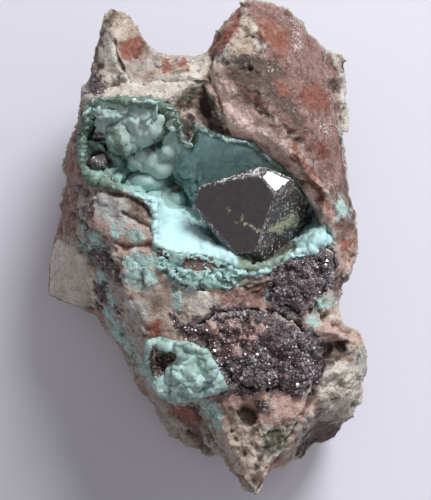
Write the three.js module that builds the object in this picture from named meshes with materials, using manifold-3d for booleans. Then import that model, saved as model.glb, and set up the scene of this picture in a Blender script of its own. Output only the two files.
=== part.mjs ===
// A hand specimen of cuprite with chrysocolla, lying on its broken back with its display face up.
//
// The host rock is one broken block: two spikes at the +Y end, a beak at the -Y end, and a vug sunk into
// the display face. The vug is lined with botryoidal chrysocolla, and a cuprite octahedron stands in it.
// Crusts of small cuprite crystals and of chrysocolla lie in shallow seats on the rock.
//
// Millimetres, +Z up, origin under the middle of the specimen on the surface that it rests on.

import * as THREE from 'three';
import { ConvexGeometry } from 'three/addons/geometries/ConvexGeometry.js';
import { ImprovedNoise } from 'three/addons/math/ImprovedNoise.js';
import { TessellateModifier } from 'three/addons/modifiers/TessellateModifier.js';
import { mergeVertices } from 'three/addons/utils/BufferGeometryUtils.js';
import Module from 'manifold-3d';

const wasm = await Module();
wasm.setup();

// ---------------------------------------------------------------- driving dimensions

const GAP = 0.3; // clearance between one solid and the next
const FRONT_EDGE = 4.2; // longest triangle edge on the display face and round the silhouette
const BACK_EDGE = 9; // longest triangle edge on the flanks and the back
const ROUGHNESS = { coarse: 0.75, coarseScale: 7, fine: 0.4, fineScale: 2.9 }; // broken rock, heights and sizes
const HIGH = 60; // above everything, for cutters that run out of the top
const CRUST_ROOT = 5; // below every crust, where the walls that cut them start

// ---------------------------------------------------------------- the rock's outline and relief

// The silhouette seen from above, clockwise from the tip of the left spike: x, y and the height of the edge.
const SILHOUETTE = [
  [-16.2, 40, 27.5], [-14.8, 39.7, 27], [-13.4, 38.8, 27], [-11.8, 37, 26], [-10.2, 35, 25], [-8.5, 33.3, 24],
  [-7.2, 32.6, 23], [-3, 32.5, 23], [-0.9, 32.9, 24], [-0.1, 33.4, 25], [1.2, 36.2, 25.5], [3.7, 38.7, 26],
  [5.4, 40.8, 26.5], [7, 41.7, 27], [9, 41.2, 26.5], [10.8, 41, 26], [12.9, 40.4, 25], [15, 39.2, 24],
  [16.8, 37.6, 22], [18.1, 35.7, 20], [18.8, 35, 18], [20.8, 33.9, 14], [22.6, 33.2, 13.5], [23.4, 31.8, 13],
  [23.7, 29.5, 12.5], [24, 25.5, 12], [24.3, 19.8, 12.5], [23.3, 18.8, 15], [23.5, 16.7, 16], [24, 12.8, 17],
  [24.6, 9, 17.5], [25.1, 5.6, 18], [25.8, 1.3, 19], [25.7, -0.9, 19], [24.5, -3.4, 19], [23, -6.7, 20],
  [22.3, -8.4, 20], [22.2, -10.9, 20], [23, -13, 21], [24.4, -13.4, 22], [26.4, -14.7, 21], [27, -17.7, 19.5],
  [27.4, -20.7, 18.5], [26.8, -23.7, 18], [26.2, -26, 17], [24.8, -29.1, 16], [24, -29.8, 13], [23.2, -30.7, 8],
  [21.8, -32.7, 7], [18, -34.4, 7], [16.7, -36.5, 8], [14.1, -37.6, 9], [12.3, -37.2, 14], [10.8, -38.1, 20],
  [9.6, -39.5, 24], [8.3, -41.8, 26], [6.2, -40.7, 24], [4.7, -38.9, 22], [3.3, -37, 18], [2, -36.4, 12],
  [0.3, -36.2, 8], [-3.2, -34.6, 6], [-6.7, -32.5, 5], [-8.4, -30.7, 5], [-10.1, -27.2, 6], [-11.8, -24.6, 7],
  [-13.4, -21.9, 8], [-14.8, -18.5, 8], [-16.1, -15.9, 9], [-18.2, -14.1, 9], [-19.7, -11.6, 9],
  [-22.6, -10.3, 9], [-25.7, -9.2, 9], [-27.5, -8.3, 10], [-28.1, -6, 10], [-27.6, -2.1, 10.5],
  [-26.8, 2.2, 11], [-26.2, 4.8, 12], [-25.2, 6.9, 14], [-24.8, 9.9, 16], [-24.8, 12.4, 17], [-25, 14.5, 18],
  [-23.9, 15.8, 19], [-23.3, 17.9, 20], [-22.6, 20, 21], [-22.3, 21.7, 22], [-21.6, 25, 23], [-21.4, 27.4, 24],
  [-20.2, 29.1, 25], [-19.8, 31.5, 25.5], [-19.3, 33.6, 26], [-18.3, 35.7, 26.5], [-17.6, 37.8, 27],
].map(([x, y, z]) => new THREE.Vector3(x, y, z));

// Lines of points on the display face: its ridges, lips, hollows and flats.
const RELIEF = {
  leftSpikeCrest: [[-15.3, 34.8, 30], [-15, 32.6, 30.5], [-13.8, 30.3, 30.5], [-13, 28.2, 30.5]],
  leftSpikeFace: [[-17.3, 31.3, 29], [-18, 28.3, 28.7]],
  redHollow: [[-12.3, 32.6, 27], [-11.3, 29.8, 27.2], [-9.2, 31, 26.2], [-6, 30.5, 26.5]],
  saddleLip: [[-10.5, 27.8, 30.4], [-8.7, 28.8, 30], [-5.8, 28.2, 30.2], [-3.5, 30.5, 29], [-1.4, 31.2, 27.5]],
  vugTopRim: [
    [-20.2, 25.3, 28], [-18, 25.2, 30], [-14.7, 25.3, 31], [-10.5, 25, 31.5], [-7.2, 24.8, 31.5],
    [-4.7, 25.8, 31], [-2.2, 28, 31],
  ],
  rightPeakCrest: [
    [6.2, 38.5, 29.5], [4.3, 36.3, 30.5], [3.2, 33.9, 31.5], [2.1, 32, 31.7], [0.6, 30.2, 31], [-0.6, 28.7, 30.7],
  ],
  rightPeakFoot: [[0.4, 32.4, 27.2], [2, 34.8, 27.8]],
  paleFacet: [[8.3, 36.7, 31.5], [10, 34.3, 32.5], [9.5, 32, 33.2], [4.2, 31.4, 32.6]],
  slab: [
    [4.8, 27.2, 33], [9, 26.3, 34], [13.7, 31.3, 31.5], [15.3, 25.5, 31.5], [11.2, 20.5, 33.5],
    [17, 19.7, 30.5], [15.3, 14.7, 31.5], [19.5, 9.7, 29], [12, 37, 29.5],
  ],
  slabRightEdge: [
    [15.8, 34.6, 26], [18, 31.6, 24.5], [19, 27.8, 25.5], [20.2, 28.8, 21], [21, 24.7, 22], [21.6, 20, 22],
    [20.4, 16.2, 26], [21.9, 11.2, 24.5], [22.6, 5.3, 24.5],
  ],
  backShelf: [[20.6, 31.3, 14.5], [22, 27, 13.5], [22.6, 22.5, 13.5]],
  pinkBandRight: [
    [2.6, 29.6, 32], [4, 25.6, 32.3], [6.4, 22.2, 32.2], [9.5, 19, 32.2], [13.2, 15.8, 31], [16.7, 12, 29.5],
    [19.2, 6.8, 27.6], [20.6, 3.6, 26.5],
  ],
  pinkBandLeft: [
    [0.1, 27.8, 31], [1.7, 23.8, 30.6], [4, 20.5, 30], [6.4, 18.2, 29.5], [9.2, 16.5, 29], [12.4, 13.7, 28],
    [15.8, 10.7, 26.5], [18.2, 7.4, 25.6], [19.3, 3.3, 25],
  ],
  gully: [[-1.6, 25.6, 28.5], [-0.4, 22.4, 27.5], [1, 20.2, 27.5], [-4.4, 22.6, 29], [-3, 19, 28]],
  overVug: [[-13, 17, 29], [-6.3, 13, 28.5], [3.7, 10, 28], [10.3, 5, 27.5], [-3, 5, 29]],
  leftOfVug: [[-20.8, 21.3, 28], [-21.8, 16.5, 27], [-22.2, 11.3, 26.5], [-18, 9.6, 29.5]],
  plate: [
    [-14.7, 9.3, 30.8], [-9.9, 7.6, 31], [-8.8, 4.6, 31.2], [-8.3, 1.5, 31.3], [-5.5, -0.8, 31.2],
    [-14.7, 4.3, 30], [-10.9, 2.2, 30.8],
  ],
  plateEdge: [[-21, 6.9, 27.5], [-18.8, 3.2, 28.5], [-16.2, 0, 29.3], [-14, -1.6, 30]],
  cleft: [[-22.7, 3.8, 20], [-19.8, -0.9, 20], [-17.4, -4.8, 21], [-22.4, 8.6, 22.5]],
  leftBlock: [[-24.7, -0.3, 16.5], [-24.3, -6.2, 14.5], [-20.7, -7, 15.5]],
  diagonalCrest: [
    [-15, -4, 29.6], [-13.8, -7.3, 29.3], [-11.8, -12, 29], [-10.3, -16.2, 28.5], [-9.8, -20.7, 27],
    [-8.2, -24, 26], [-4.8, -25.9, 26], [-1.7, -25.9, 27],
  ],
  leftFlank: [
    [-16.8, -9.5, 19], [-14.5, -14.5, 18.5], [-12, -19.5, 17], [-9.4, -25.3, 14], [-5.6, -28.7, 14], [-0.7, -30.3, 16],
  ],
  wedge: [[-9.7, -6.2, 31], [-6.4, -8.7, 31], [-7.3, -12.8, 30.3], [-5.4, -5, 31.4]],
  triangle: [[-2.2, -6.7, 31.8], [1.6, -8.7, 31.3], [-1.8, -12.4, 30.3]],
  middle: [[2.4, -4.7, 30.5], [6.3, -7, 29.5], [9.4, -5, 30], [11.4, -8.9, 28.3], [2, -2.4, 29.6]],
  knobSeat: [[-6.4, -16.2, 29.3], [-1.5, -17, 30], [1.8, -22.4, 28.5], [-3.8, -22.2, 28]],
  druseSlope: [
    [2.8, -12, 30.9], [7, -11.2, 30.4], [6.2, -17, 30], [12, -15.3, 29.7], [4.7, -22.8, 28.7], [9.5, -20.8, 29],
    [15.3, -17.8, 28.7], [15.2, -22.6, 27.8],
  ],
  druseRight: [[13.7, -1.2, 28.8], [17.6, -0.6, 27.5], [15.3, -6.2, 29.4], [19.3, -5, 26.5], [16.8, -9.6, 27.3]],
  rightBlock: [[21.8, -0.3, 24.5], [22.4, -3.7, 22.8], [20.5, -8.7, 25], [19.6, -11.4, 24.2]],
  rightLobe: [
    [17.6, -13.8, 27.2], [21.4, -14.2, 26.6], [24.4, -15.7, 24.6], [19.5, -17, 24], [22.8, -20.3, 25.2],
    [17.9, -22.6, 26.7], [22.8, -25.2, 22.7], [18.6, -26.6, 24], [21.3, -28, 19.5],
  ],
  beakLeftCrest: [[3.6, -25.4, 28.5], [1.4, -27.6, 26.6], [2.7, -31.2, 26], [4.8, -35, 26], [6.7, -38.7, 26]],
  beakHollow: [[7.2, -27, 26.3], [6.2, -30.3, 27.3], [7.8, -33.7, 27.4], [8.5, -37.2, 27.4]],
  beakMiddle: [[9, -24.7, 28.6], [11.2, -28.2, 28.8], [13.7, -25.3, 27.6], [10.8, -32, 28]],
  beakRightCrest: [[17, -27.9, 26.4], [15, -31.2, 25.5], [12.2, -34.8, 25.5], [10.2, -38, 25.5]],
  underLobe: [[19, -30.6, 13], [16.4, -33, 13]],
};

// Rings under the silhouette: height as a share of the edge's height, how far in as a share of it too, and
// over how many neighbours each way the ring is evened out.
const FLANK_RINGS = [
  { height: 0.76, inset: 0.02, even: 1 },
  { height: 0.5, inset: 0.09, even: 3 },
  { height: 0.24, inset: 0.2, even: 5 },
  { height: 0, inset: 0.36, even: 6 },
];
const LEAST_INSET = 0.6;
const INWARD_ALONG_Y = 0.6; // how much of the inset runs along the specimen instead of across it
const FLANK_RELIEF = { height: 2.2, scale: 9 }; // broad hollows and swellings of the flanks

// ---------------------------------------------------------------- the vug, its lining and the crystals

const VUG_WALL = [[0, 1], [0.5, 0.95], [0.88, 0.62]]; // depth share, radius share
const LINING_WALL = [[0, 0.98], [0.28, 0.84], [0.6, 0.66], [0.9, 0.34]];
const VUG_LOBES = [
  {
    rim: [
      [-18.6, 24.2], [-14.7, 24.6], [-11.3, 24.3], [-8.3, 24], [-5.8, 22.8], [-5.2, 20.5], [-4.3, 17.6], [-2.7, 15.5],
      [-1.8, 12.2], [-3, 9], [-8, 8], [-11.4, 9], [-16, 10.6], [-19.6, 11.2], [-21, 14.5], [-20.9, 18.5],
      [-20, 21.8],
    ],
    top: 26, floor: [-10, 14.8, 15], liningFloor: [-9.4, 14.8, 17.5],
  },
  {
    rim: [
      [-1.8, 20], [0.2, 19], [3, 18], [7.6, 16.9], [9.6, 14.7], [12.8, 12.5], [16, 9.5], [18.4, 6],
      [19.2, 3], [16.6, 1], [12.8, -1.3], [9.4, -3.3], [6.5, -4], [4.2, -3.3], [0.8, -1.4], [-3.5, -1.3],
      [-7.4, 0.2], [-8.5, 3], [-8.6, 6.2], [-8, 9.2], [-3.8, 16],
    ],
    top: 25, floor: [3.6, 8.4, 13], liningFloor: [4.2, 8.6, 15],
  },
];
const LINING_RISE = 0.5; // how far the crust's lip stands above the rock

// Botryoidal lumps in the vug: centre, then radii along x, y and z.
const VUG_LUMPS = [
  [-10.2, 11.6, 18.6, 3.6, 2.6, 2.8], [-5.2, 13.2, 19.6, 3.2, 2.8, 2.8], [-12.8, 16.6, 19.8, 3.2, 2.8, 2.8],
  [-8.6, 19.6, 22, 3.2, 2.8, 2.8], [-14.8, 20.8, 23, 3.2, 2.6, 2.6], [-11.4, 22.4, 24.8, 2.2, 1.8, 2.2],
  [-4.4, 8.4, 18.4, 2.8, 2.6, 2.6], [-0.4, 13.8, 19.4, 2.8, 2.6, 2.8], [4.4, 15, 21.2, 2.8, 2.2, 2.8],
  [-17.2, 12.8, 22.4, 2.3, 2.1, 2.2],
];

const AXIS_1 = new THREE.Vector3(0.432, 0.313, 0.846).normalize(); // the crystal's three fourfold axes
const AXIS_3 = new THREE.Vector3(0.024, -0.941, 0.337).normalize();
const AXIS_2 = new THREE.Vector3().crossVectors(AXIS_3, AXIS_1).normalize();
const CRYSTAL_CENTRE = new THREE.Vector3(6.8, 8.3, 25.6);
// Its faces: Miller indices on those axes, then the distance from the centre.
const CRYSTAL_FACES = [
  [1, 1, 1, 7.2], [1, -1, 1, 7.2], [1, 1, -1, 7.4], [-1, 1, 1, 8.1], [1, -1, -1, 7.8], [-1, -1, 1, 9.6],
  [-1, 1, -1, 5], [-1, -1, -1, 8.8], [1, 0, 0, 9.8], [0, 1, 0, 10.1], [0, 0, 1, 10.2], [-1, 0, 0, 8],
  [0, 1, 1, 8.9], [-0.08, 0.23, -0.97, 2.1], [0.16, -0.27, -0.95, 3], [0.22, -0.92, -0.3, 12.5],
];

// Small cuprite crystals sunk in the crust at the left of the vug: centre, radius, turn about Z and tilt.
const SMALL_CRYSTALS = {
  small_cuprite_upper: { centre: [-18, 19.2, 26.6], radius: 1.7, turn: 0.5, tilt: 0.5 },
  small_cuprite_lower: { centre: [-18.2, 14.1, 26.2], radius: 2.2, turn: 1.1, tilt: 0.35 },
};

// Crusts that lie in seats on the rock: outline, rise above it, depth below it and their lumps or crystals.
const CRUSTS = {
  cuprite_druse_lower: {
    outline: [
      [-1.2, -12.9], [2.6, -11], [7, -10.6], [12, -11.2], [15, -13.2], [16.3, -17], [16.4, -21.2], [15.6, -24.4],
      [11.6, -22.9], [8.6, -23.6], [5.6, -22.4], [3.2, -20.6], [1.4, -17.4],
    ],
    rise: 0.4, depth: 0.9, crystals: 26, size: [0.9, 1.5], seed: 11,
  },
  cuprite_druse_right: {
    outline: [
      [12.6, -2.2], [14.6, -0.5], [17.6, 0.4], [20.4, -0.8], [21, -3.4], [19.2, -6.6], [17.4, -9.6], [14.8, -10.2],
      [12, -8.4], [11.2, -5.4],
    ],
    rise: 0.5, depth: 0.9, crystals: 15, size: [0.9, 1.5], seed: 5,
  },
  chrysocolla_crust: {
    outline: [
      [-5.6, -1.2], [-1.8, -0.9], [2.2, -2.6], [5.6, -5], [3.6, -6.2], [0, -6.6], [-3.2, -6.2], [-6.6, -4.4], [-7.6, -2.6],
    ],
    rise: 0.35, depth: 0.8, lumps: 9, size: [0.8, 1.3], seed: 3,
  },
};

// The knob: lumps grown together (centre, then radii along x, y and z), with one open pit.
const KNOB_LUMPS = [
  [-3.4, -20.2, 27.4, 6.2, 4.6, 3.6], [-7.3, -17.4, 28.2, 2.5, 2.3, 2.4], [-4, -17.2, 29.2, 2.7, 2.2, 2.2],
  [-7.2, -22.4, 27.2, 2.6, 2.6, 2.4], [-3.2, -21.8, 29.6, 3, 2.6, 2.2], [-0.4, -19.6, 29.2, 2.8, 2.3, 2.2],
  [1, -22.4, 28.4, 2.7, 2.2, 2.1],
];
const KNOB_PIT = [-7.2, -19.2, 31, 2, 2.6, 4.4];

// ---------------------------------------------------------------- helpers

const noise = new ImprovedNoise();

// A repeatable series of numbers from 0 to 1.
function seeded(seed) {
  let state = seed * 7919;
  return () => {
    state = (state * 16807 + 12345) % 2147483647;
    return state / 2147483647;
  };
}

// A closed geometry as a manifold-3d solid.
function solidOf(geometry) {
  const bare = new THREE.BufferGeometry().setAttribute('position', geometry.getAttribute('position'));
  if (geometry.index) bare.setIndex(geometry.index);
  const merged = mergeVertices(bare, 1e-4);
  return new wasm.Manifold(new wasm.Mesh({
    numProp: 3,
    vertProperties: new Float32Array(merged.attributes.position.array),
    triVerts: new Uint32Array(merged.index.array),
  }));
}

// A manifold-3d solid as a named mesh.
function meshOf(name, solid, material) {
  const { vertProperties, triVerts } = solid.getMesh();
  const geometry = new THREE.BufferGeometry()
    .setAttribute('position', new THREE.BufferAttribute(vertProperties, 3))
    .setIndex(new THREE.BufferAttribute(triVerts, 1));
  geometry.computeVertexNormals();
  const mesh = new THREE.Mesh(geometry, material);
  mesh.name = name;
  return mesh;
}

function geometryOf(triangles) {
  return new THREE.BufferGeometry().setFromPoints(triangles.flat());
}

// An ellipsoid of flat triangles, as a solid.
function lump([x, y, z, rx, ry, rz], detail = 1, grow = 0) {
  const ball = new THREE.IcosahedronGeometry(1, detail);
  ball.scale(rx + grow, ry + grow, rz + grow).rotateZ(x + y).translate(x, y, z);
  return solidOf(ball);
}

// A closed wall straight up from an outline, from one height to another.
function prism(outline, from, to, grow = 0) {
  const middle = centreOf(outline);
  const points = outline.map(([x, y]) => {
    const out = new THREE.Vector2(x - middle.x, y - middle.y);
    return out.setLength(out.length() + grow).add(middle);
  });
  const geometry = new THREE.ExtrudeGeometry(new THREE.Shape(points), { depth: to - from, bevelEnabled: false });
  return solidOf(geometry.translate(0, 0, from));
}

function centreOf(outline) {
  const middle = new THREE.Vector2();
  outline.forEach(([x, y]) => middle.add(new THREE.Vector2(x, y)));
  return middle.divideScalar(outline.length);
}

function insideOutline(x, y, outline) {
  let inside = false;
  outline.forEach((a, i) => {
    const b = outline[(i + 1) % outline.length];
    if ((a.y > y) !== (b.y > y) && x < ((b.x - a.x) * (y - a.y)) / (b.y - a.y) + a.x) inside = !inside;
  });
  return inside;
}

// A closed line's points, with more put in where they are further apart than a spacing.
function closePoints(points, spacing) {
  return points.flatMap((p, i) => {
    const next = points[(i + 1) % points.length];
    const steps = Math.ceil(p.distanceTo(next) / spacing);
    return Array.from({ length: steps }, (_, k) => p.clone().lerp(next, k / steps));
  });
}

// Does the circle through a counter-clockwise triangle hold p, in plan?
function circleHolds(a, b, c, p) {
  const [ax, ay, bx, by, cx, cy] = [a.x - p.x, a.y - p.y, b.x - p.x, b.y - p.y, c.x - p.x, c.y - p.y];
  const aa = ax * ax + ay * ay;
  const bb = bx * bx + by * by;
  const cc = cx * cx + cy * cy;
  return aa * (bx * cy - cx * by) - bb * (ax * cy - cx * ay) + cc * (ax * by - bx * ay) > 0;
}

// Delaunay triangles of points in plan, counter-clockwise from above.
function delaunay(points) {
  const far = 4000;
  const all = [...points, new THREE.Vector3(-far, -far), new THREE.Vector3(far, -far), new THREE.Vector3(0, far)];
  const count = points.length;
  let triangles = [[count, count + 1, count + 2]];
  points.forEach((p, i) => {
    const broken = triangles.filter(([a, b, c]) => circleHolds(all[a], all[b], all[c], p));
    const border = new Map();
    for (const [a, b, c] of broken) {
      for (const [u, v] of [[a, b], [b, c], [c, a]]) {
        if (!border.delete(`${v},${u}`)) border.set(`${u},${v}`, [u, v]);
      }
    }
    triangles = triangles.filter((t) => !broken.includes(t));
    for (const [u, v] of border.values()) triangles.push([u, v, i]);
  });
  return triangles.filter((t) => t.every((k) => k < count)).map((t) => t.map((k) => all[k]));
}

// ---------------------------------------------------------------- the rock

// The display face: every point of the outline and the relief, joined in plan, cut off at the outline.
function displayFace(outline) {
  const relief = Object.values(RELIEF).flat().map(([x, y, z]) => new THREE.Vector3(x, y, z));
  return delaunay([...outline, ...relief]).filter(([a, b, c]) => {
    const [x, y] = [(a.x + b.x + c.x) / 3, (a.y + b.y + c.y) / 3];
    return insideOutline(x, y, outline);
  });
}

function flankRing(outline, { height, inset, even }) {
  return outline.map((_, i) => {
    const p = new THREE.Vector3();
    for (let k = -even; k <= even; k++) p.add(outline.at((i + k) % outline.length));
    p.divideScalar(2 * even + 1);
    const swell = FLANK_RELIEF.height * noise.noise(p.x / FLANK_RELIEF.scale, p.y / FLANK_RELIEF.scale, 4 * height);
    const depth = Math.max(LEAST_INSET, inset * p.z + swell);
    return p.add(new THREE.Vector3(-p.x, -INWARD_ALONG_Y * p.y, 0).setLength(depth)).setZ(height * p.z);
  });
}

// The flanks and the base: rings under the outline, drawn in towards the specimen's length, and a flat foot.
function flanksAndBase(outline) {
  const rings = [outline, ...FLANK_RINGS.map((ring) => flankRing(outline, ring))];
  const triangles = [];
  for (let r = 1; r < rings.length; r++) {
    outline.forEach((_, i) => {
      const j = (i + 1) % outline.length;
      const [a, b, c, d] = [rings[r - 1][i], rings[r - 1][j], rings[r][j], rings[r][i]];
      triangles.push([a, c, b], [a, d, c]);
    });
  }
  const foot = rings.at(-1);
  for (const [a, b, c] of THREE.ShapeUtils.triangulateShape(foot, [])) triangles.push([foot[a], foot[c], foot[b]]);
  return triangles;
}

// Moves each point of a closed geometry along its normal, as broken rock is. The flat foot stays flat.
function roughen(geometry) {
  const rough = mergeVertices(geometry, 1e-3);
  rough.computeVertexNormals();
  const { position, normal } = rough.attributes;
  const { coarse, coarseScale, fine, fineScale } = ROUGHNESS;
  const p = new THREE.Vector3();
  const n = new THREE.Vector3();
  for (let i = 0; i < position.count; i++) {
    p.fromBufferAttribute(position, i);
    n.fromBufferAttribute(normal, i);
    if (p.z < 0.01) continue;
    const lift = coarse * noise.noise(p.x / coarseScale, p.y / coarseScale, p.z / coarseScale)
      + fine * noise.noise(p.x / fineScale, p.y / fineScale, p.z / fineScale);
    p.addScaledVector(n, lift * Math.min(1, p.z / 2));
    position.setXYZ(i, p.x, p.y, Math.max(0, p.z));
  }
  return rough;
}

function buildRock() {
  const outline = closePoints([...SILHOUETTE].reverse(), FRONT_EDGE);
  const front = new TessellateModifier(FRONT_EDGE, 16).modify(geometryOf(displayFace(outline)));
  const back = new TessellateModifier(BACK_EDGE, 16).modify(geometryOf(flanksAndBase(outline)));
  const points = [front, back].flatMap((g) => Array.from(g.attributes.position.array));
  const whole = new THREE.BufferGeometry();
  whole.setAttribute('position', new THREE.Float32BufferAttribute(points, 3));
  return roughen(whole);
}

// The rock moved up or down, to lay crusts on its face.
function rockRaised(rise) {
  return solidOf(rockGeometry.clone().translate(0, 0, rise));
}

// ---------------------------------------------------------------- the vug and its lining

// A bowl under an outline, open upwards: a wall profile of depth and radius shares, and the floor's middle.
function bowl({ rim, top }, floor, wall, inset = 0) {
  const middle = new THREE.Vector2(floor[0], floor[1]);
  const depth = top - floor[2] - inset;
  const ringAt = (share, z) => rim.map(([x, y]) => {
    const out = new THREE.Vector2(x, y).sub(middle);
    out.setLength((out.length() - inset) * share);
    return new THREE.Vector3(middle.x + out.x, middle.y + out.y, z);
  });
  const rings = [ringAt(wall[0][1], HIGH), ...wall.map(([down, share]) => ringAt(share, top - down * depth))];
  const lid = new THREE.Vector3(middle.x, middle.y, HIGH);
  const bottom = new THREE.Vector3(middle.x, middle.y, top - depth);
  const triangles = [];
  rim.forEach((_, i) => {
    const j = (i + 1) % rim.length;
    triangles.push([lid, rings[0][j], rings[0][i]], [bottom, rings.at(-1)[i], rings.at(-1)[j]]);
    for (let r = 1; r < rings.length; r++) {
      triangles.push([rings[r - 1][i], rings[r - 1][j], rings[r][j]], [rings[r - 1][i], rings[r][j], rings[r][i]]);
    }
  });
  return solidOf(geometryOf(triangles));
}

function vugCavity(inset = 0) {
  const [left, right] = VUG_LOBES.map((lobe) => bowl(lobe, lobe.floor, VUG_WALL, inset));
  return left.add(right);
}

// The crust on the vug's wall, its lip a little above the rock, with its lumps.
function liningSolid() {
  const room = vugCavity(GAP);
  const [left, right] = VUG_LOBES.map((lobe) => bowl(lobe, lobe.liningFloor, LINING_WALL, 1.1));
  let crust = room.subtract(left.add(right));
  for (const shape of VUG_LUMPS) crust = crust.add(lump(shape).intersect(room));
  return crust.intersect(rockRaised(LINING_RISE));
}

// ---------------------------------------------------------------- crystals

// A convex crystal: the hull of every corner where three faces meet inside all the others.
function crystalSolid(faces, centre, grow = 0) {
  const planes = faces.map(([h, k, l, distance]) => {
    const normal = new THREE.Vector3().addScaledVector(AXIS_1, h).addScaledVector(AXIS_2, k).addScaledVector(AXIS_3, l);
    return new THREE.Plane(normal.normalize(), -(distance + grow));
  });
  const corners = [];
  planes.forEach((a, i) => planes.slice(i + 1).forEach((b, j) => planes.slice(i + j + 2).forEach((c) => {
    const turn = new THREE.Matrix3().set(...a.normal.toArray(), ...b.normal.toArray(), ...c.normal.toArray());
    if (Math.abs(turn.determinant()) < 1e-6) return;
    const corner = new THREE.Vector3(-a.constant, -b.constant, -c.constant).applyMatrix3(turn.invert());
    if (planes.every((plane) => plane.distanceToPoint(corner) < 1e-6)) corners.push(corner.add(centre));
  })));
  return solidOf(new ConvexGeometry(corners));
}

function smallCrystalSolid({ centre, radius, turn, tilt }, grow = 0) {
  const octahedron = new THREE.OctahedronGeometry(radius + grow);
  octahedron.rotateX(tilt).rotateZ(turn).translate(...centre);
  return solidOf(octahedron);
}

// ---------------------------------------------------------------- crusts and the knob

// Points spread over an outline, none closer than a spacing, each with a random size.
function spread({ outline, size, seed }, count) {
  const random = seeded(seed);
  const corners = outline.map(([x, y]) => new THREE.Vector2(x, y));
  const box = new THREE.Box2().setFromPoints(corners);
  const found = [];
  for (let tries = 0; tries < 4000 && found.length < count; tries++) {
    const x = THREE.MathUtils.lerp(box.min.x, box.max.x, random());
    const y = THREE.MathUtils.lerp(box.min.y, box.max.y, random());
    const r = THREE.MathUtils.lerp(...size, random());
    const apart = found.every((f) => Math.hypot(f.x - x, f.y - y) > 0.75 * (f.r + r));
    if (apart && insideOutline(x, y, corners)) found.push({ x, y, r, turn: random() * Math.PI, tilt: random() });
  }
  return found;
}

// Height of the rock's face over a point in plan.
function faceHeight() {
  const mesh = new THREE.Mesh(rockGeometry, new THREE.MeshBasicMaterial());
  const ray = new THREE.Raycaster();
  return (x, y) => {
    ray.set(new THREE.Vector3(x, y, HIGH), new THREE.Vector3(0, 0, -1));
    return ray.intersectObject(mesh)[0].point.z;
  };
}

function crustSolid(crust, surface) {
  const bed = prism(crust.outline, CRUST_ROOT, HIGH).intersect(rockRaised(crust.rise));
  let solid = bed;
  for (const { x, y, r, turn, tilt } of spread(crust, crust.crystals ?? crust.lumps)) {
    const z = surface(x, y) + 0.15 * r;
    const grain = crust.crystals
      ? smallCrystalSolid({ centre: [x, y, z], radius: r, turn, tilt })
      : lump([x, y, z, r, 0.8 * r, 0.7 * r], 0);
    solid = solid.add(grain);
  }
  return solid.intersect(prism(crust.outline, CRUST_ROOT, HIGH, 0.4)).subtract(rockRaised(-crust.depth));
}

// What is cut out of the rock to seat a crust: down to a gap under it, and a gap wider all round.
function crustSeat(crust) {
  return prism(crust.outline, CRUST_ROOT, HIGH, 0.4 + GAP).subtract(rockRaised(-crust.depth - GAP));
}

function knobSolid(grow = 0) {
  let knob = lump(KNOB_LUMPS[0], 1, grow);
  for (const shape of KNOB_LUMPS.slice(1)) knob = knob.add(lump(shape, 1, grow));
  return grow ? knob : knob.subtract(lump(KNOB_PIT, 1));
}

// ---------------------------------------------------------------- the specimen

const rockMaterial = new THREE.MeshStandardMaterial({ color: 0x8a6f62, roughness: 0.85, metalness: 0 });
const chrysocollaMaterial = new THREE.MeshStandardMaterial({ color: 0x9fd3cb, roughness: 0.65, metalness: 0 });
const cupriteMaterial = new THREE.MeshStandardMaterial({ color: 0x3a3036, roughness: 0.22, metalness: 0.6 });
const druseMaterial = new THREE.MeshStandardMaterial({ color: 0x4a343a, roughness: 0.35, metalness: 0.4 });

// The biggest of a solid's separate bodies: what the cuts leave beside it is crumbs.
function largest(solid) {
  return solid.decompose().reduce((best, body) => (body.volume() > best.volume() ? body : best));
}

const rockGeometry = buildRock();
const surface = faceHeight();
const crystalRoom = crystalSolid(CRYSTAL_FACES, CRYSTAL_CENTRE, GAP);
const specimen = new THREE.Group();

let matrix = rockRaised(0).subtract(vugCavity()).subtract(crystalRoom).subtract(knobSolid(GAP));
let lining = liningSolid().subtract(crystalRoom);

for (const [name, small] of Object.entries(SMALL_CRYSTALS)) {
  const room = smallCrystalSolid(small, GAP);
  lining = lining.subtract(room);
  matrix = matrix.subtract(room);
  specimen.add(meshOf(name, smallCrystalSolid(small), cupriteMaterial));
}
for (const [name, crust] of Object.entries(CRUSTS)) {
  const solid = crustSolid(crust, surface).subtract(vugCavity(-GAP)).subtract(knobSolid(GAP));
  matrix = matrix.subtract(crustSeat(crust));
  specimen.add(meshOf(name, largest(solid), crust.crystals ? druseMaterial : chrysocollaMaterial));
}
specimen.add(
  meshOf('matrix', largest(matrix), rockMaterial),
  meshOf('vug_lining', largest(lining), chrysocollaMaterial),
  meshOf('cuprite_crystal', crystalSolid(CRYSTAL_FACES, CRYSTAL_CENTRE), cupriteMaterial),
  meshOf('chrysocolla_knob', largest(knobSolid()), chrysocollaMaterial),
);

// The origin goes under the middle of the specimen.
const extent = new THREE.Box3().setFromObject(specimen);
const middle = extent.getCenter(new THREE.Vector3());
specimen.position.set(-middle.x, -middle.y, -extent.min.z);

export default specimen;
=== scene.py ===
"""A hand specimen: a cuprite crystal in a chrysocolla-lined vug of iron-stained rock.

Sizes and places inside this file are millimetres in the specimen's own frame, which lies
face up on its back with its long side along Y. Meshes are written in metres.
"""

import itertools
import math

import bmesh
import bpy
import numpy as np
from bpy.props import FloatProperty, FloatVectorProperty, IntProperty, PointerProperty
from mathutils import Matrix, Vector
from mathutils.bvhtree import BVHTree


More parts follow.
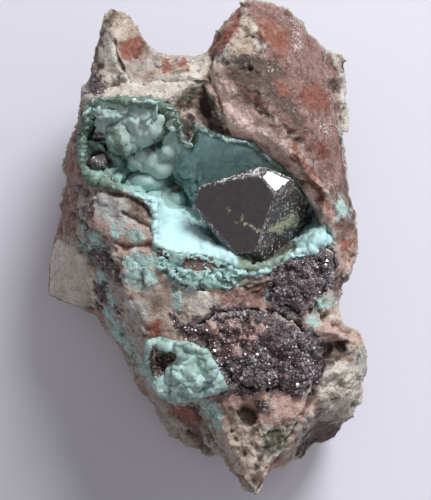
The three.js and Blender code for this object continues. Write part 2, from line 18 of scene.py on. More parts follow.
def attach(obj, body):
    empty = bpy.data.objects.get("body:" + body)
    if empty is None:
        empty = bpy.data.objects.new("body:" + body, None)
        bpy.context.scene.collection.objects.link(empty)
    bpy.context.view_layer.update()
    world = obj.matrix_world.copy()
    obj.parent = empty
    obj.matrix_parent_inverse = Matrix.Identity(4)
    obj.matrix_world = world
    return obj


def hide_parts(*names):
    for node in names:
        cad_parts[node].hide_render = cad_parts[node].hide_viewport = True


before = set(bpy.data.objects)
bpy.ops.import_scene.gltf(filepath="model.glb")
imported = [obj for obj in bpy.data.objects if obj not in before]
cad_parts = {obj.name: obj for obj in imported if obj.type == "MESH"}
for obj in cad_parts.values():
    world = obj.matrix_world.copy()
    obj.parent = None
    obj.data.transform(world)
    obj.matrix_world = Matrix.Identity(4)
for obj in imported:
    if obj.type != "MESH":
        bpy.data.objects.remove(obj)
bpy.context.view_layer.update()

bl_info = {
    "name": "Cuprite with Chrysocolla",
    "version": (1, 0, 0),
    "blender": (4, 5, 0),
    "location": "View3D > Sidebar > Specimen",
    "description": "Builds a cuprite crystal in a chrysocolla-lined vug, piece by piece",
    "category": "Object",
}

MM = 0.001
REACH = 3.0  # zone depths are kept within this many millimetres of their outline
TRIANGLES = 190000  # most triangles that the host rock is thinned to
WELD = 1e-6  # corners of a solid this near each other, in metres, are one
FRONT = (-0.05, 0.35)  # upward parts of a normal between which a surface comes to face front

# How the crusts lie, in millimetres.
DRUSE_STEP, NET_STEP, KNOB_STEP = 0.2, 0.18, 0.22  # widths of the draped crusts' squares
CRUST_MARGIN = 0.9  # a crust reaches this far past its outline, where it is sunk out of sight
CRUST_THICKNESS = 1.4
CRUST_PROUD = 0.15  # the least that a crust in a hollow stands proud of the rock
CRYSTAL_GAP = 0.9  # the least depth of that crust below the large crystal's surface
STEEPEST = 4.5  # a draped crust ends where the rock falls this many times as far as it runs
TEAR_WIDTH = 0.35  # how far a torn sheet's broken edge takes to fall
VUG_LEVEL = 25  # height that the shape of the vug is reckoned from

# Where the camera and the lights stand, in metres unless a name says otherwise.
VIEW_HEIGHT = 83.333  # millimetres of the drawing plane that the view takes in from top to foot
SENSOR = 24  # millimetres
FLOOR_WIDTH = 5.0
LIT_PLACE = (0.010, 0.012, 0.036)  # what the lights are turned to, on the large crystal
WINDOW = ((0.340, 0.734, 0.588), 1.2, 0.45)  # direction, distance and width
LOW_WINDOW = ((0.733, 0.536, 0.420), 0.5, 0.1)
AMBIENT_TINT = (1.0, 0.94, 0.96, 1)

# ------------------------------------------------------------------ drawn outlines
# Outlines are in millimetres, drawn as seen from straight in front, on a plane 30 mm above
# the base, by an eye 600 mm above that plane and over this point.
EYE_OVER = np.array([1.77, -0.32])
DRAWING_HEIGHT = 30.0
EYE_RISE = 600.0

# Differently coloured zones of the rock; a later zone lies over an earlier one.
ZONES = {
    "beige": (
        [(6.8, 19.7), (8.4, 20), (9.8, 18.8), (9.6, 17.5), (7.9, 17.7), (6.9, 18.4)],
        [(-26.6, -2), (-25, 1.3), (-21.6, 0.5), (-19.1, -3.2), (-17.1, -6.6), (-18.3, -9.5),
         (-22.5, -9.9), (-26.2, -7.8)],
        [(-17.1, 27.4), (-15, 27.9), (-12.5, 28.3), (-10, 27.8), (-7.5, 28.6), (-5, 28.1),
         (-2.5, 28.6), (-0.6, 27.6), (-0.8, 26.8), (-3.7, 25.5), (-5.4, 23.8), (-9.1, 24.3),
         (-11.6, 24.6), (-15, 25), (-17.7, 24.7), (-19.4, 25.5), (-19.1, 27)],
        [(-18.5, 34.1), (-16.6, 35.9), (-15, 34.7), (-14.5, 31.8), (-13.7, 29.3), (-15, 28),
         (-17.1, 27.6), (-17.7, 29.3), (-17.3, 31.3)],
        [(-2.9, 31.6), (-0.8, 32.6), (1.1, 32.4), (0.9, 30.9), (-0.4, 29.3), (-0.8, 27.6),
         (-2.5, 28.4), (-4.1, 28.4), (-3.3, 29.9)],
        [(7.7, 37.8), (8.7, 37.2), (8.9, 34.7), (10.5, 33.8), (10.2, 32.3), (7.9, 32.5),
         (7.7, 35.1)],
        [(20, 33.8), (22.5, 32.8), (23.3, 30.9), (24, 25.5), (24.2, 19.7), (23.4, 18.8),
         (22.5, 19.7), (22.7, 24.7), (22.1, 29.3), (20.4, 31.8)],
        [(-4.5, -7), (-2.5, -6.7), (0.1, -6.5), (2.4, -8.9), (1.3, -10.3), (-0.8, -11.7),
         (-2.2, -11.2), (-3.7, -9.1)],
        [(-12.1, -8.7), (-10, -8.4), (-8.9, -9.6), (-9.6, -11.2), (-11.2, -11)],
        [(19.2, -19.5), (21.7, -18.7), (24.6, -19.5), (26.7, -21.2), (27.1, -23.7), (25.4, -27),
         (23.8, -28.7), (20.9, -27.8), (18.8, -25.3)],
    ),
    "tan": (
        [(-15, 39.5), (-13.1, 38.8), (-11.4, 37.2), (-10.2, 35), (-12.9, 35), (-14.8, 34.7),
         (-15.6, 36.3), (-15.6, 38.4)],
        [(5.9, 38.8), (7.7, 38.8), (7.9, 32.4), (4.2, 32.1), (3.4, 32.4), (4, 34.7)],
        [(-7.5, 32.4), (-4.1, 32.1), (-0.8, 32.5), (-2.9, 31.3), (-3.7, 29.7), (-5.8, 28.8),
         (-7.9, 29.3), (-7.3, 31.3)],
        [(-4.1, 23.8), (-1.6, 23), (-2.1, 20.5), (-4.1, 21.3), (-5.8, 20.5), (-5.6, 22.6)],
        [(-0.8, 27.4), (1.7, 27.8), (3.6, 30.9), (1.7, 31.3), (0.9, 32.4), (0.4, 30.5),
         (-0.6, 28.8)],
        [(-13.7, -6.2), (-9.6, -6.6), (-5.8, -7.6), (-4.1, -10.7), (-2.9, -13.2), (-2.5, -15.3),
         (-4.1, -15.3), (-6.6, -12.8), (-9.6, -12.4), (-11.6, -11.2), (-13.3, -8.7)],
        [(-4.1, -16.6), (-1.6, -17), (-2.1, -17.4), (-3.7, -17.2)],
        [(1.7, -29.7), (4.2, -29.7), (9.2, -29.7), (10, -31.6), (8.8, -34.5), (8.4, -37.4),
         (9.2, -40.3), (7.9, -41.2), (5.4, -37.4), (3.4, -33.7)],
        [(18.8, -9.9), (21.3, -9.1), (23.4, -11.2), (26.3, -13.7), (26.7, -16.6), (24.2, -17),
         (21.3, -15.3), (19.2, -13.7)],
    ),
    "pink": (
        [(-0.8, 27), (1.7, 27.4), (3.6, 30.5), (4.2, 27.6), (5.9, 24.7), (8.4, 23), (11.3, 21.3),
         (14.2, 18.8), (17.1, 15.5), (19.2, 11.3), (21.7, 5.9), (22.3, 2.6), (19.2, 4.3),
         (17.5, 8.4), (15.9, 11.3), (12.5, 13.3), (10, 16.3), (8.4, 17.6), (3.4, 18.8), (2.3, 23),
         (1.3, 25.9)],
        [(-20.4, 6.8), (-17.1, 5.9), (-13.7, 5.1), (-10.8, 3.8), (-8.7, 2.6), (-7.5, -0.3),
         (-15, -0.7), (-17.1, 1.3), (-19.6, 3.8)],
        [(-15.8, 1.3), (-7.5, 1.3), (-6.6, -1.2), (-5.8, -2.8), (-4.8, -6.2), (-9.1, -6.2),
         (-10.8, -3.2), (-13.7, -1.6), (-15.4, -0.3)],
        [(3.4, -24.1), (5.9, -23.7), (11.3, -23.2), (16.3, -24.5), (17.9, -26.2), (16.7, -28.2),
         (12.1, -29.9), (9.2, -29.5), (3.4, -29.5), (2.9, -26.6)],
        [(16.7, -10.7), (21.3, -12.4), (23.8, -13.2), (25.9, -15.3), (24.2, -16.6), (20.9, -16.2),
         (18.4, -14.5), (16.7, -12.8)],
        [(-7.5, -13), (-4.1, -14.9), (-2.5, -15.3), (-4.1, -15.3), (-6.6, -15.1)],
        [(10, -36.2), (12.5, -34.5), (15.9, -29.5), (16.7, -28.7), (15, -33.7), (11.7, -38.7),
         (9.6, -41.2)],
        [(16.3, 34.3), (18.8, 33.4), (19.2, 30.5), (17.9, 28.8), (16.7, 30.5)],
        [(21.7, 1.3), (25.4, 1.3), (25, -2), (23.4, -4.1), (22.1, -2.4)],
    ),
    "slab": (
        [(6.1, 41.1), (8.8, 41.1), (14.2, 39.3), (17.5, 35.9), (20.4, 33), (22.3, 29.3),
         (22.5, 24.7), (23.1, 18.8), (24.2, 12.2), (25.4, 3.8), (25.6, 0.3), (22.5, 2.2),
         (21.9, 5.9), (19.2, 12.2), (17.1, 15.9), (14.2, 19.3), (11.3, 21.8), (8.4, 23.4),
         (5.9, 24.9), (4.2, 27.6), (3.6, 30.9), (4.2, 32), (10.2, 32.3), (10.6, 33.8), (9, 34.7),
         (8.4, 37.6), (7.1, 39.3)],
        [(6.1, 41.1), (5.9, 38.8), (3.8, 34.7), (3.1, 32.2), (1.3, 31.3), (0.9, 33.4),
         (2.9, 36.8)],
        [(-23.7, 13.8), (-22.1, 16.3), (-21.2, 20.5), (-20.6, 23.4), (-19.1, 21.3), (-19.6, 16.3),
         (-20.8, 9.7), (-21.2, 3.8), (-23.7, 1.3), (-25, 3.8)],
        [(-0.8, -5.3), (2.9, -5.7), (5.9, -7), (11.3, -5.3), (11.7, -8.2), (10.4, -10.7),
         (7.5, -9.9), (2.5, -9.9), (0.9, -7.8)],
        [(21.3, -0.3), (22.5, -3.2), (22.1, -8.2), (20.9, -6.2)],
    ),
    # Painted light: the band beside the slab is turned from the key light, so it is painted paler
    # than the pink rock to stand in for the light it doesn't catch.
    "rose": (
        [(2.6, 25.6), (4.6, 25.2), (7, 23), (10, 21), (13, 18.4), (15.6, 15.4), (18, 11.6),
         (20, 7.4), (21.2, 3.4), (19.4, 4.4), (17.4, 8), (15.2, 11.4), (12.6, 13.8), (10.2, 16.2),
         (7.6, 17.8), (4, 19), (3, 22)],
        [(1.4, 25.4), (1.6, 27.6), (3.2, 30), (4.4, 28.4), (5.4, 25.6), (4.4, 23.4), (2.6, 21)],
    ),
    # Dark brown, partly the rock's own and partly painted shade on the cliff beside the vug and in
    # hollows.
    "umber": (
        [(4.4, 30), (6.5, 31), (8.7, 29.4), (12.6, 26.6), (15.5, 23.2), (17.4, 19.4), (15.4, 20.4),
         (11.8, 23.8), (7.8, 26.4), (5, 28.2)],
        [(-0.6, 26.8), (1.3, 25.9), (2.3, 23), (3.6, 19.1), (1.7, 19.3), (-0.8, 20.5), (-1.4, 23),
         (-1.2, 25.5)],
        [(-6, 20.9), (-4.1, 21.6), (-1.6, 20.5), (-2.3, 17.2), (-5, 18), (-6.2, 19.3)],
        [(3.6, 32), (7.9, 32.4), (12.5, 31.3), (13.6, 28.8), (12.1, 28), (9.2, 28.8), (5.4, 28.8),
         (3.4, 30.5)],
        [(-15.6, 38.8), (-16.6, 38.2), (-17.7, 35.9), (-18.5, 33), (-18.9, 30.5), (-18.1, 30.9),
         (-17.3, 33.4), (-16.6, 35.9), (-15.6, 36.8)],
        [(-17.5, 9.6), (-13.7, 9.6), (-9.4, 8.4), (-8.3, 5), (-9.3, 4.4), (-11.2, 6.3),
         (-14.1, 8.3), (-17.1, 8.8)],
        [(24.2, 18), (24.8, 12.2), (25.6, 3.8), (23.8, 3.8), (23.1, 12.2), (22.7, 18)],
        [(4.2, -26.7), (7.1, -26.5), (9.4, -27.8), (8.8, -29.5), (6.3, -29.3), (4.6, -28.2)],
        [(14.2, -35.3), (16.7, -30.3), (18.8, -28.2), (22.9, -29.5), (22.1, -31.6), (17.9, -33.2),
         (16.7, -35.7)],
        [(20.9, -16.2), (23.6, -15.3), (24.2, -17.4), (21.7, -19.1), (19.2, -22), (18.8, -19.5)],
        [(1.7, -5.7), (4.2, -6.6), (3.4, -8.2), (1.3, -7.4)],
        [(-4.1, -25.3), (-1.6, -26.2), (1.7, -34.5), (-0.8, -33.2), (-4.1, -28.7), (-6.6, -25.3)],
        [(22.1, -3.7), (23.8, -4.5), (23.1, -7), (21.9, -6.6)],
    ),
    "red": (
        [(5.9, 37.6), (4.6, 35.5), (3.4, 33.8), (1.7, 32.6), (1.3, 33.4), (2.9, 35.9),
         (5.4, 39.3)],
        [(14.6, 18), (16.7, 15.5), (18.8, 11.3), (20.4, 6.8), (22.1, 2.6), (20.9, 3.8),
         (18.4, 8.4), (16.3, 12.2), (14.2, 15.5)],
        [(-14.5, 34.5), (-10.8, 35.1), (-10, 34.3), (-11, 31.3), (-12.9, 31.3), (-13.9, 32.2)],
        [(8.8, 37.8), (11.3, 38), (13.8, 36.3), (14.4, 33.4), (12.9, 32), (10.9, 34.1),
         (9.2, 34.9)],
        [(16.1, 27), (18.4, 27.2), (20.9, 25.5), (20.6, 23.6), (17.9, 22.8), (16.3, 24.7)],
        [(11.3, 27.8), (13.6, 28), (14.6, 25.9), (12.9, 25.1)],
        [(-7.1, 31.3), (-5.8, 31.6), (-5.4, 29.7), (-6.4, 29.3)],
        [(-4.6, 30.9), (-2.5, 31.3), (-2.5, 29.9), (-4.1, 29.3)],
        [(17.5, 17.2), (20, 17.4), (20.9, 15.5), (18.4, 14.7)],
        [(-10, -12.6), (-7.5, -12.4), (-6.6, -13.9), (-7.1, -15.3), (-9.1, -15.7), (-10, -14.5)],
        [(-5.8, -25.5), (-2.5, -26.2), (-0.8, -29.5), (-2.5, -29.5), (-5, -27.4)],
        [(22.5, 1.3), (24.6, 1.3), (24.2, -0.3), (22.7, 0.1)],
    ),
    # Dark oxide and dirt in crevices, together with painted shade in them and on the cliff beside
    # the vug.
    "dark": (
        [(4.2, 31.6), (6.7, 32), (8.4, 30.5), (7.9, 29.1), (5.9, 29.5), (4.4, 30.3)],
        [(1.3, 24.9), (2.3, 22.6), (3.4, 19.3), (2.4, 19.3), (1.5, 22.2)],
        [(-5.8, 20.5), (-2.5, 18.8), (-2.5, 17.2), (-4.8, 18.2)],
        [(-5, 20.8), (-2.6, 22.6), (-1.7, 20.6), (-2.2, 18.4)],
        [(-19.1, 23), (-18.1, 23.8), (-17.7, 21.8), (-18.9, 21.3)],
        [(-20.6, 18), (-19.4, 18), (-19.1, 15.9), (-20.2, 15.5)],
        [(23.1, 18.8), (23.6, 18), (23.1, 16.3)],
        [(-20.8, 4.7), (-19.1, 3.8), (-17.5, 1.8), (-15, -0.3), (-17.5, -0.7), (-20, 1.3)],
        [(-21.6, 1.3), (-17.1, 0.9), (-15, -2.4), (-13.7, -5.3), (-15, -6.2), (-17.1, -3.7),
         (-20, -0.7)],
        [(7.1, -19.7), (8.8, -19.5), (10.2, -22), (9.6, -23.7), (7.9, -22)],
        [(8.4, -34.7), (9.5, -34.5), (9.4, -37), (8.7, -36.8)],
        [(11.7, -7), (14.2, -6.6), (15.9, -8.2), (15, -10.7), (12.9, -10.3)],
        [(14.2, -36.2), (16.7, -31.2), (17.9, -32), (16.7, -36.2)],
        [(-2.5, -25.7), (-0.4, -26.2), (-0.8, -27.8), (-2.1, -27.4)],
    ),
    "moss": (
        [(-3.7, 26.3), (-1.2, 26.8), (-1.1, 24.7), (-2.5, 24.2), (-3.7, 24.9)],
        [(9.6, -30.5), (12.9, -30.1), (13.8, -31.6), (11.7, -33.7), (9.6, -33.7)],
        [(10.6, -6.6), (12.5, -6.4), (16.3, -8.7), (15.4, -11.6), (12.5, -11.2), (10.9, -9.5)],
        [(14.2, 0.5), (16.3, 0.9), (15.4, -1.2), (12.5, -2.4)],
    ),
    "milky": (
        [(-19.1, 8), (-17.1, 8.6), (-14.6, 7.8), (-12.9, 5.9), (-12.1, 4.3), (-12.9, 2.6),
         (-15.4, 3.8), (-17.9, 5.1)],
        [(-12.5, 0.1), (-9.1, -1.2), (-8.7, -3.2), (-11.6, -2.4)],
        [(16.3, -15.3), (20, -15.1), (20.4, -16.6), (16.7, -16.6)],
        [(-13.3, -8.7), (-10.8, -9.1), (-9.6, -12), (-12.1, -11.2)],
    ),
    "turquoise": (
        [(-13.7, -2.4), (-11.6, -1.2), (-9.1, -1.8), (-8.7, -4.1), (-7.9, -6.2), (-10.8, -7),
         (-12.9, -5.3)],
        [(-17.9, -4.5), (-16.6, -4.5), (-15, -8.2), (-14.1, -12.4), (-10.8, -18.2), (-6.6, -24.5),
         (-4.1, -25.7), (-7.5, -25.3), (-10.8, -21.2), (-15, -15.3), (-17.1, -9.9)],
        [(-5.8, -6.2), (-4.1, -6.6), (-3.9, -10.7), (-5.4, -9.9)],
        [(-1.2, -12), (1.7, -10.5), (2.5, -11.2), (0, -12.6)],
        [(-0.8, -25.3), (2.3, -25.3), (2.3, -30.3), (0.9, -30.3)],
        [(17.9, -8), (20.4, -7.4), (21.1, -9.1), (18.8, -10.5)],
        [(16.7, -11.2), (17.9, -11.4), (19, -12.8), (17.1, -13)],
        [(10, -5.7), (11.3, -7), (14.2, -7.6), (16.7, -9.5), (15.9, -11.2), (12.5, -11.2),
         (10.4, -8.7)],
        [(21.9, 8.4), (22.9, 8.8), (24.1, 5.3), (22.1, 5.1)],
        [(-11.6, 3), (-10.6, 3.2), (-10.8, 0.7), (-11.9, 0.9)],
        [(-15.6, 3.4), (-13.1, 2.6), (-15, 1.1)],
        [(-20.8, 3.8), (-17.9, 2.6), (-16.6, 0.1), (-19.1, 0.5)],
        [(-21.2, 1.3), (-19.1, 1.3), (-17.1, -1.2), (-15, -3.2), (-16.6, -4.1), (-19.1, -1.2)],
    ),
    "druse": (
        [(-5.8, -10.7), (-2.5, -13.2), (-0.4, -16.6), (1.7, -20.7), (0, -22), (-2.1, -17.4),
         (-5, -13.2)],
        [(-4.1, -12.8), (1.7, -10.3), (7.1, -9.6), (12.5, -12), (18.8, -14.9), (20.9, -16.6),
         (18.8, -22.4), (15.9, -24.9), (10, -23.7), (4.2, -24.9), (1.7, -21.2), (-0.8, -16.2)],
        [(11.3, -0.7), (14.2, 0.5), (17.5, 0.5), (21.3, -1.2), (21.7, -6.2), (18.8, -7.8),
         (16.3, -12), (12.5, -11.6), (10.6, -9.1), (11.5, -5.7)],
        [(-20.2, 28.4), (-16.9, 28.8), (-16.6, 26.1), (-19.6, 25.9)],
        [(-21.2, 7.2), (-18.5, 7.6), (-18.7, 4.7), (-20.8, 5.1)],
        [(-19.6, 0.5), (-16.6, -1.2), (-14.1, -4.9), (-15.4, -5.3), (-18.3, -2.4)],
        [(-18.5, -5.7), (-16.2, -5.7), (-16, -9.7), (-17.9, -9.9)],
        [(-15.2, -9.5), (-13.9, -9.9), (-14.1, -12), (-15, -11.6)],
        [(-21.2, 10.5), (-19.8, 10.9), (-20, 9.7), (-21, 9.5)],
        [(7.9, -25.3), (11.3, -25.7), (10.9, -27.4), (8.4, -27)],
    ),
    # Silvery specks, their pale grey partly painted glints.
    "sparkle": (
        [(18.1, 22), (21.7, 22.2), (22.1, 18), (18.8, 18)],
        [(20.4, 27), (23.6, 27), (23.6, 24.7), (21.3, 24.7)],
        [(13.6, 39.3), (16.1, 38.8), (16.7, 33), (15.9, 30.1), (14.2, 33)],
        [(9.8, 31.1), (12.5, 31.1), (12.7, 28.4), (10.2, 28.4)],
        [(13.6, 24.1), (16.5, 24.1), (16.5, 22.4), (13.8, 22.6)],
        [(5, -24.5), (10, -25.3), (13.4, -25.3), (12.1, -27.8), (8.4, -26.6)],
        [(21.3, 14.7), (22.5, 14.7), (23.1, 8.8), (21.9, 8.8)],
        [(20.9, -3.7), (22.5, -2.8), (22.9, -5.7), (21.3, -6.6)],
    ),
}
# Cracks: a line, its width and its depth.
CRACKS = (
    ([(1.2, 32.2), (0, 28.8), (-0.3, 25.5), (0.4, 22.2)], 0.9, 0.8),
    ([(-17.1, 27), (-15, 27.6), (-12.5, 28.1), (-10, 27.5), (-7.5, 28.3), (-5, 27.8),
      (-2.5, 28.3), (-0.8, 27.4)], 0.5, 0.5),
    ([(-15, 34.5), (-14.6, 31.8), (-13.7, 29.7), (-12.5, 28.3)], 0.6, 0.8),
    ([(1.3, 26.8), (2.6, 23), (3.9, 19.1)], 0.6, 0.5),
    ([(-17.5, 9.7), (-11.6, 8), (-9.1, 6)], 0.6, 0.6),
    ([(-13.7, 5.9), (-10.8, 4.3), (-9.1, 3.6), (-7.9, 2.2)], 0.5, 0.6),
    ([(-20.8, 4.7), (-17.9, 1.3), (-15, -0.3)], 0.6, 0.6),
    ([(-17.1, 1.3), (-16.2, -1.2), (-13.7, -4.9)], 0.6, 0.7),
    ([(-22.1, 5.5), (-18.3, 2.2), (-13.3, 0.2), (-9.1, 0.5)], 0.8, 0.7),
    ([(-9.1, 6), (-7.8, 2.2), (-6.6, -2.3)], 0.7, 0.5),
    ([(-12.5, -8.7), (-9.1, -16.2)], 0.7, 0.4),
    ([(-17.5, -4.5), (-13.7, -12.4), (-10.8, -18.7), (-6.6, -24.5)], 0.4, 0.3),
    ([(-2.5, -25.7), (0, -30.3), (4.2, -36.2), (7.9, -40.9)], 0.6, 0.6),
    ([(16.3, -27.8), (12.5, -34.5), (9.2, -40.3)], 0.6, 0.6),
    ([(20.9, -16.6), (19.6, -19.5), (18.4, -23.7), (16.7, -27.8)], 0.8, 0.9),
    ([(5.4, -7.6), (7.9, -6.6), (11.3, -5.5)], 0.35, 0.35),
    ([(5.9, -6.6), (8.4, -5.5), (11.1, -4.5)], 0.35, 0.35),
    ([(5.1, -8.4), (8, -7.5), (11, -6.5)], 0.35, 0.3),
)
# Pits: middle, radius and depth.
ROCK_PITS = (
    (7.5, 29.9, 0.7, 0.8), (6.9, -28, 2, 1), (21.7, -12.8, 0.9, 0.7), (23.1, -11.6, 0.7, 0.5),
    (20, -11.2, 0.9, 0.6), (22.5, -16.6, 1.2, 0.9), (5, -32, 0.8, 0.5), (7.5, -32.8, 0.6, 0.4),
    (-17.5, 30.3, 1, 0.5), (24.6, -26.2, 1, 0.6), (4.3, -30.6, 0.5, 0.4), (6.3, -34.2, 0.6, 0.4),
)
# Broad rises: middle, radius and height.
ROCK_SWELLS = (
    (14.8, 12.4, 2.4, 0.8), (17.2, 9, 2.4, 1), (19, 5.8, 2.4, 1), (3.6, 22, 3.2, 1),
    (6.4, 19.6, 3, 1), (9.4, 17.6, 2.8, 0.8),
)
# Facets of the rock with little relief.
SMOOTH_ROCK = (
    [(-4.3, -7), (0, -6.7), (2.2, -9.2), (1.2, -11.7), (-1.6, -13.7), (-3.1, -11.7)],
    [(-13.3, -6.2), (-6.6, -6.2), (-4.5, -8.7), (-4.1, -12.8), (-7.5, -14.5), (-10.8, -12)],
    [(-20, 7.2), (-12.5, 8), (-9.1, 5.5), (-7.8, 0.5), (-9.1, -4.5), (-13.3, -1.2), (-18.3, 1.3)],
    [(-26.6, -0.3), (-24.2, 1.7), (-20, -2.3), (-18.3, -7), (-20.8, -10.7), (-25.8, -8.7)],
    [(-19.5, 27.6), (-0.8, 28), (-0.8, 25), (-9.1, 24.7), (-19.1, 24.7)],
    [(-18.5, 34.1), (-15.6, 39), (-12, 37), (-10, 34), (-13.7, 29.3), (-17.5, 28)],
)
# The edge of the crust round the vug, clockwise.
VUG_RIM = [
    (-18.4, 24.6), (-14.2, 24.9), (-10.8, 24.6), (-7.6, 24.3), (-5, 23), (-4.4, 20.5),
    (-3.6, 17.8), (-2.4, 16.5), (-1.6, 18.5), (-1.5, 20.3), (0.8, 19.3), (3.6, 18.3), (8.2, 17.2),
    (10.3, 15), (12.8, 13.2), (15, 10.8), (16.8, 8), (18.1, 5.2), (18.4, 3.8), (19.7, 3.2),
    (21, 1.3), (18.5, -0.8), (14, -1.4), (12.5, -2.6), (10.5, -3.8), (7.5, -4.3), (5, -3.8),
    (2.6, -2.5), (0, -1.8), (-2.8, -1.7), (-5.4, -1.3), (-7.2, -0.6), (-8.3, 1.2), (-8.6, 3.4),
    (-8.6, 6.2), (-9, 8), (-11.2, 8.8), (-15.5, 10.2), (-19.3, 10.9), (-20.8, 14.5), (-20.7, 18.5),
    (-19.8, 22)]
RIM_ROLLS = ((-2, 8), (9, 15))  # the corners that a roll of dark green crust runs between
PATH_STEPS = 16  # points from one of them to the next
# The crust's own surface inside the vug: x, y and height.
VUG_RELIEF = np.array([
    (-17.5, 22.5, 28), (-14, 22.5, 28.2), (-10.5, 22.3, 28.6), (-7.5, 21.5, 27.6),
    (-17.3, 19.3, 25.4), (-15.2, 19.3, 26), (-13.5, 19.3, 26.8), (-10, 19.3, 25.8),
    (-7.2, 18.5, 25), (-17, 16, 25.6), (-14, 16, 24.6), (-11, 16.2, 22.6), (-8, 16, 23.2),
    (-5.6, 16.5, 24.4), (-17, 12.8, 25.4), (-14, 12.5, 22.8), (-9.8, 11, 22.8), (-13, 11, 20.6),
    (-9.8, 13.2, 20.4), (-6.2, 11, 19.4), (-9.8, 9, 22.6), (-6.0, 7.0, 24.0), (-4.3, 5.2, 25.0),
    (-2.0, 2.6, 26.4), (0.6, 0.7, 27.6), (3, -0.4, 28.4), (5, -2.6, 31.2), (8, -2.6, 31),
    (10.5, -2.8, 30.4), (-5, 11.3, 18), (-5.3, 9.8, 17.6), (-3, 13, 21.2), (-1, 15, 23),
    (-1.5, 10, 19.2), (-3.4, 7, 18.4), (0, 18, 26.6), (4, 16.5, 26), (8, 15, 26), (0, 13, 20.4),
    (4, 13, 21), (-6.5, 4, 27.2), (-4.8, 1.5, 28.2), (-1, -0.2, 28.6), (2.2, -1.3, 29.2),
    (-3, 6.6, 19.6), (-1.4, 5, 20), (0.8, 3.2, 20.4), (3.4, 1.4, 21), (6, -1.5, 29.2), (3, 6, 18),
    (8, 6, 18), (12, 4, 18), (15, 6, 17), (10, 10, 18), (14.2, 3.4, 17), (16.6, 4.8, 17),
    (17.2, 6, 17), (12.5, 1.2, 20), (14, 1.4, 19), (15.8, 2.7, 18), (18.2, 4, 19),
    (14.8, -0.2, 26.8), (16.9, 1.6, 27.2), (18.4, 2.5, 27.4), (20, 1.6, 28.4), (17.4, 0, 28.6),
    (8, -2, 28), (11, -1.4, 27), (13, -0.7, 26.8)])
# Rounded lumps that stand in it: middle, half widths, and the heights of the top and the foot.
VUG_LUMPS = (
    (-15.6, 22.5, 2.3, 1.7, 29.0, 27), (-13.5, 19.0, 1.7, 1.4, 27.8, 26),
    (-11.5, 20.2, 1.9, 1.5, 28.5, 26.5), (-9.3, 21.2, 1.6, 1.3, 28.7, 27),
    (-10.6, 15.8, 1.5, 1.2, 25.2, 23), (-8.6, 15.0, 1.4, 1.2, 25.0, 23),
    (-6.6, 16.4, 1.5, 1.2, 26.4, 24), (-7.5, 13.7, 1.5, 1.1, 24.2, 21.5),
    (-9.5, 13.5, 1.1, 0.9, 23.4, 21), (-12.0, 14.2, 1.4, 1.2, 24.0, 22),
    (-5.2, 14.6, 1.1, 1.0, 24.0, 21.5), (-9.8, 11.0, 3.5, 2.1, 24.6, 20.5),
    (-4.9, 7.9, 1.9, 1.8, 21.3, 18.0), (-12.9, 10.6, 1.2, 1.0, 23.4, 21.5),
)
# Folds that stand up from it and creases that cut into it: a line, its half width, its height.
VUG_FOLDS = (
    ([(-20.1, 21.3), (-18.6, 21.4), (-17.1, 21.1), (-15.9, 20.2), (-15.6, 19.0), (-16.3, 17.8),
      (-18.0, 17.3), (-19.6, 17.6)], 0.4, 1.0),
    ([(-19.5, 16.8), (-17.8, 17.1), (-16.0, 16.4), (-15.1, 15.0), (-15.2, 13.2), (-16.5, 11.7),
      (-18.5, 11.3), (-20.0, 12.3)], 0.45, 1.1),
    ([(-13.6, 12.4), (-13.9, 10.3), (-12.5, 9.0)], 0.6, -1.5),
    ([(-6.1, 13.0), (-5.8, 10.7), (-4.1, 9.5)], 0.7, -2.0),
    ([(-3.5, 8.7), (-2.8, 7.0), (-1.5, 5.3)], 0.9, -2.5),
    ([(-14.5, 16.3), (-13.5, 15.2), (-13.4, 13.3)], 0.6, -1.2),
    ([(-7.4, 17.4), (-8.6, 17.0), (-10.6, 16.8), (-12.4, 15.9)], 0.5, -1.2),
    ([(-12.8, 22.7), (-11.1, 22.3), (-9.8, 23.0)], 0.8, 0.8),
    ([(-6.3, 18.0), (-5.6, 20.0), (-5.8, 22.3), (-7.5, 23.9)], 0.8, 1.0),
)
# Torn sheets: the line that they break off along, how far they reach back to its left, and
# how high they stand.
VUG_SHEETS = (
    ([(-17.6, 22.6), (-16.4, 22.0), (-15.3, 21.8), (-13.9, 22.1), (-13.3, 23.3)], 1.4, 1.1),
    ([(-15.2, 17.4), (-12.8, 17.3), (-10.6, 18.0), (-8.8, 19.4), (-7.6, 21.2),
      (-7.9, 22.6)], 2.8, 1.7),
    ([(-14.2, 19.3), (-12.6, 20.3), (-10.9, 20.4), (-9.6, 21.7)], 1.3, 1.0),
    ([(-12.3, 14.3), (-10.0, 13.3), (-8.0, 12.9), (-6.0, 13.9), (-4.8, 15.6)], 2.0, 1.2),
    ([(-18.3, 11.0), (-16.4, 10.8), (-14.6, 11.2), (-13.8, 12.6)], 1.0, 0.7),
    ([(4.0, -0.8), (2.2, -0.1), (0.6, 0.8), (-0.8, 1.9), (-2.2, 3.1), (-3.8, 5.0),
      (-4.6, 6.0)], 1.8, 0.7),
)
# Where the crust's own edges are dark green.
GREEN_EDGES = (
    [(-9.6, 20.0), (-8.5, 20.3), (-7.5, 21.7)], [(-12.5, 16.3), (-13.5, 17.7), (-14.5, 20.0)],
    [(-6.5, 18.0), (-5.8, 20.0), (-6.0, 22.3), (-7.5, 23.7)], [(-18.8, 17.4), (-17, 17.6)],
    [(-14.8, 16.7), (-14.6, 13.5), (-15.8, 11)], [(-20.1, 20), (-20.2, 15)],
)
# The stained cups of the small crystals: middle and radius.
SMALL_CRYSTAL_CUPS = ((-17.5, 19.2, 1.9), (-17.6, 14.2, 2.5), (-16.3, 16.9, 0.9))
# A grainy part of the vug's lining.
GRANULAR = [(-5.8, 14.7), (-0.8, 14.7), (-0.3, 8.0), (-2.5, 7.2), (-4.8, 9.7)]
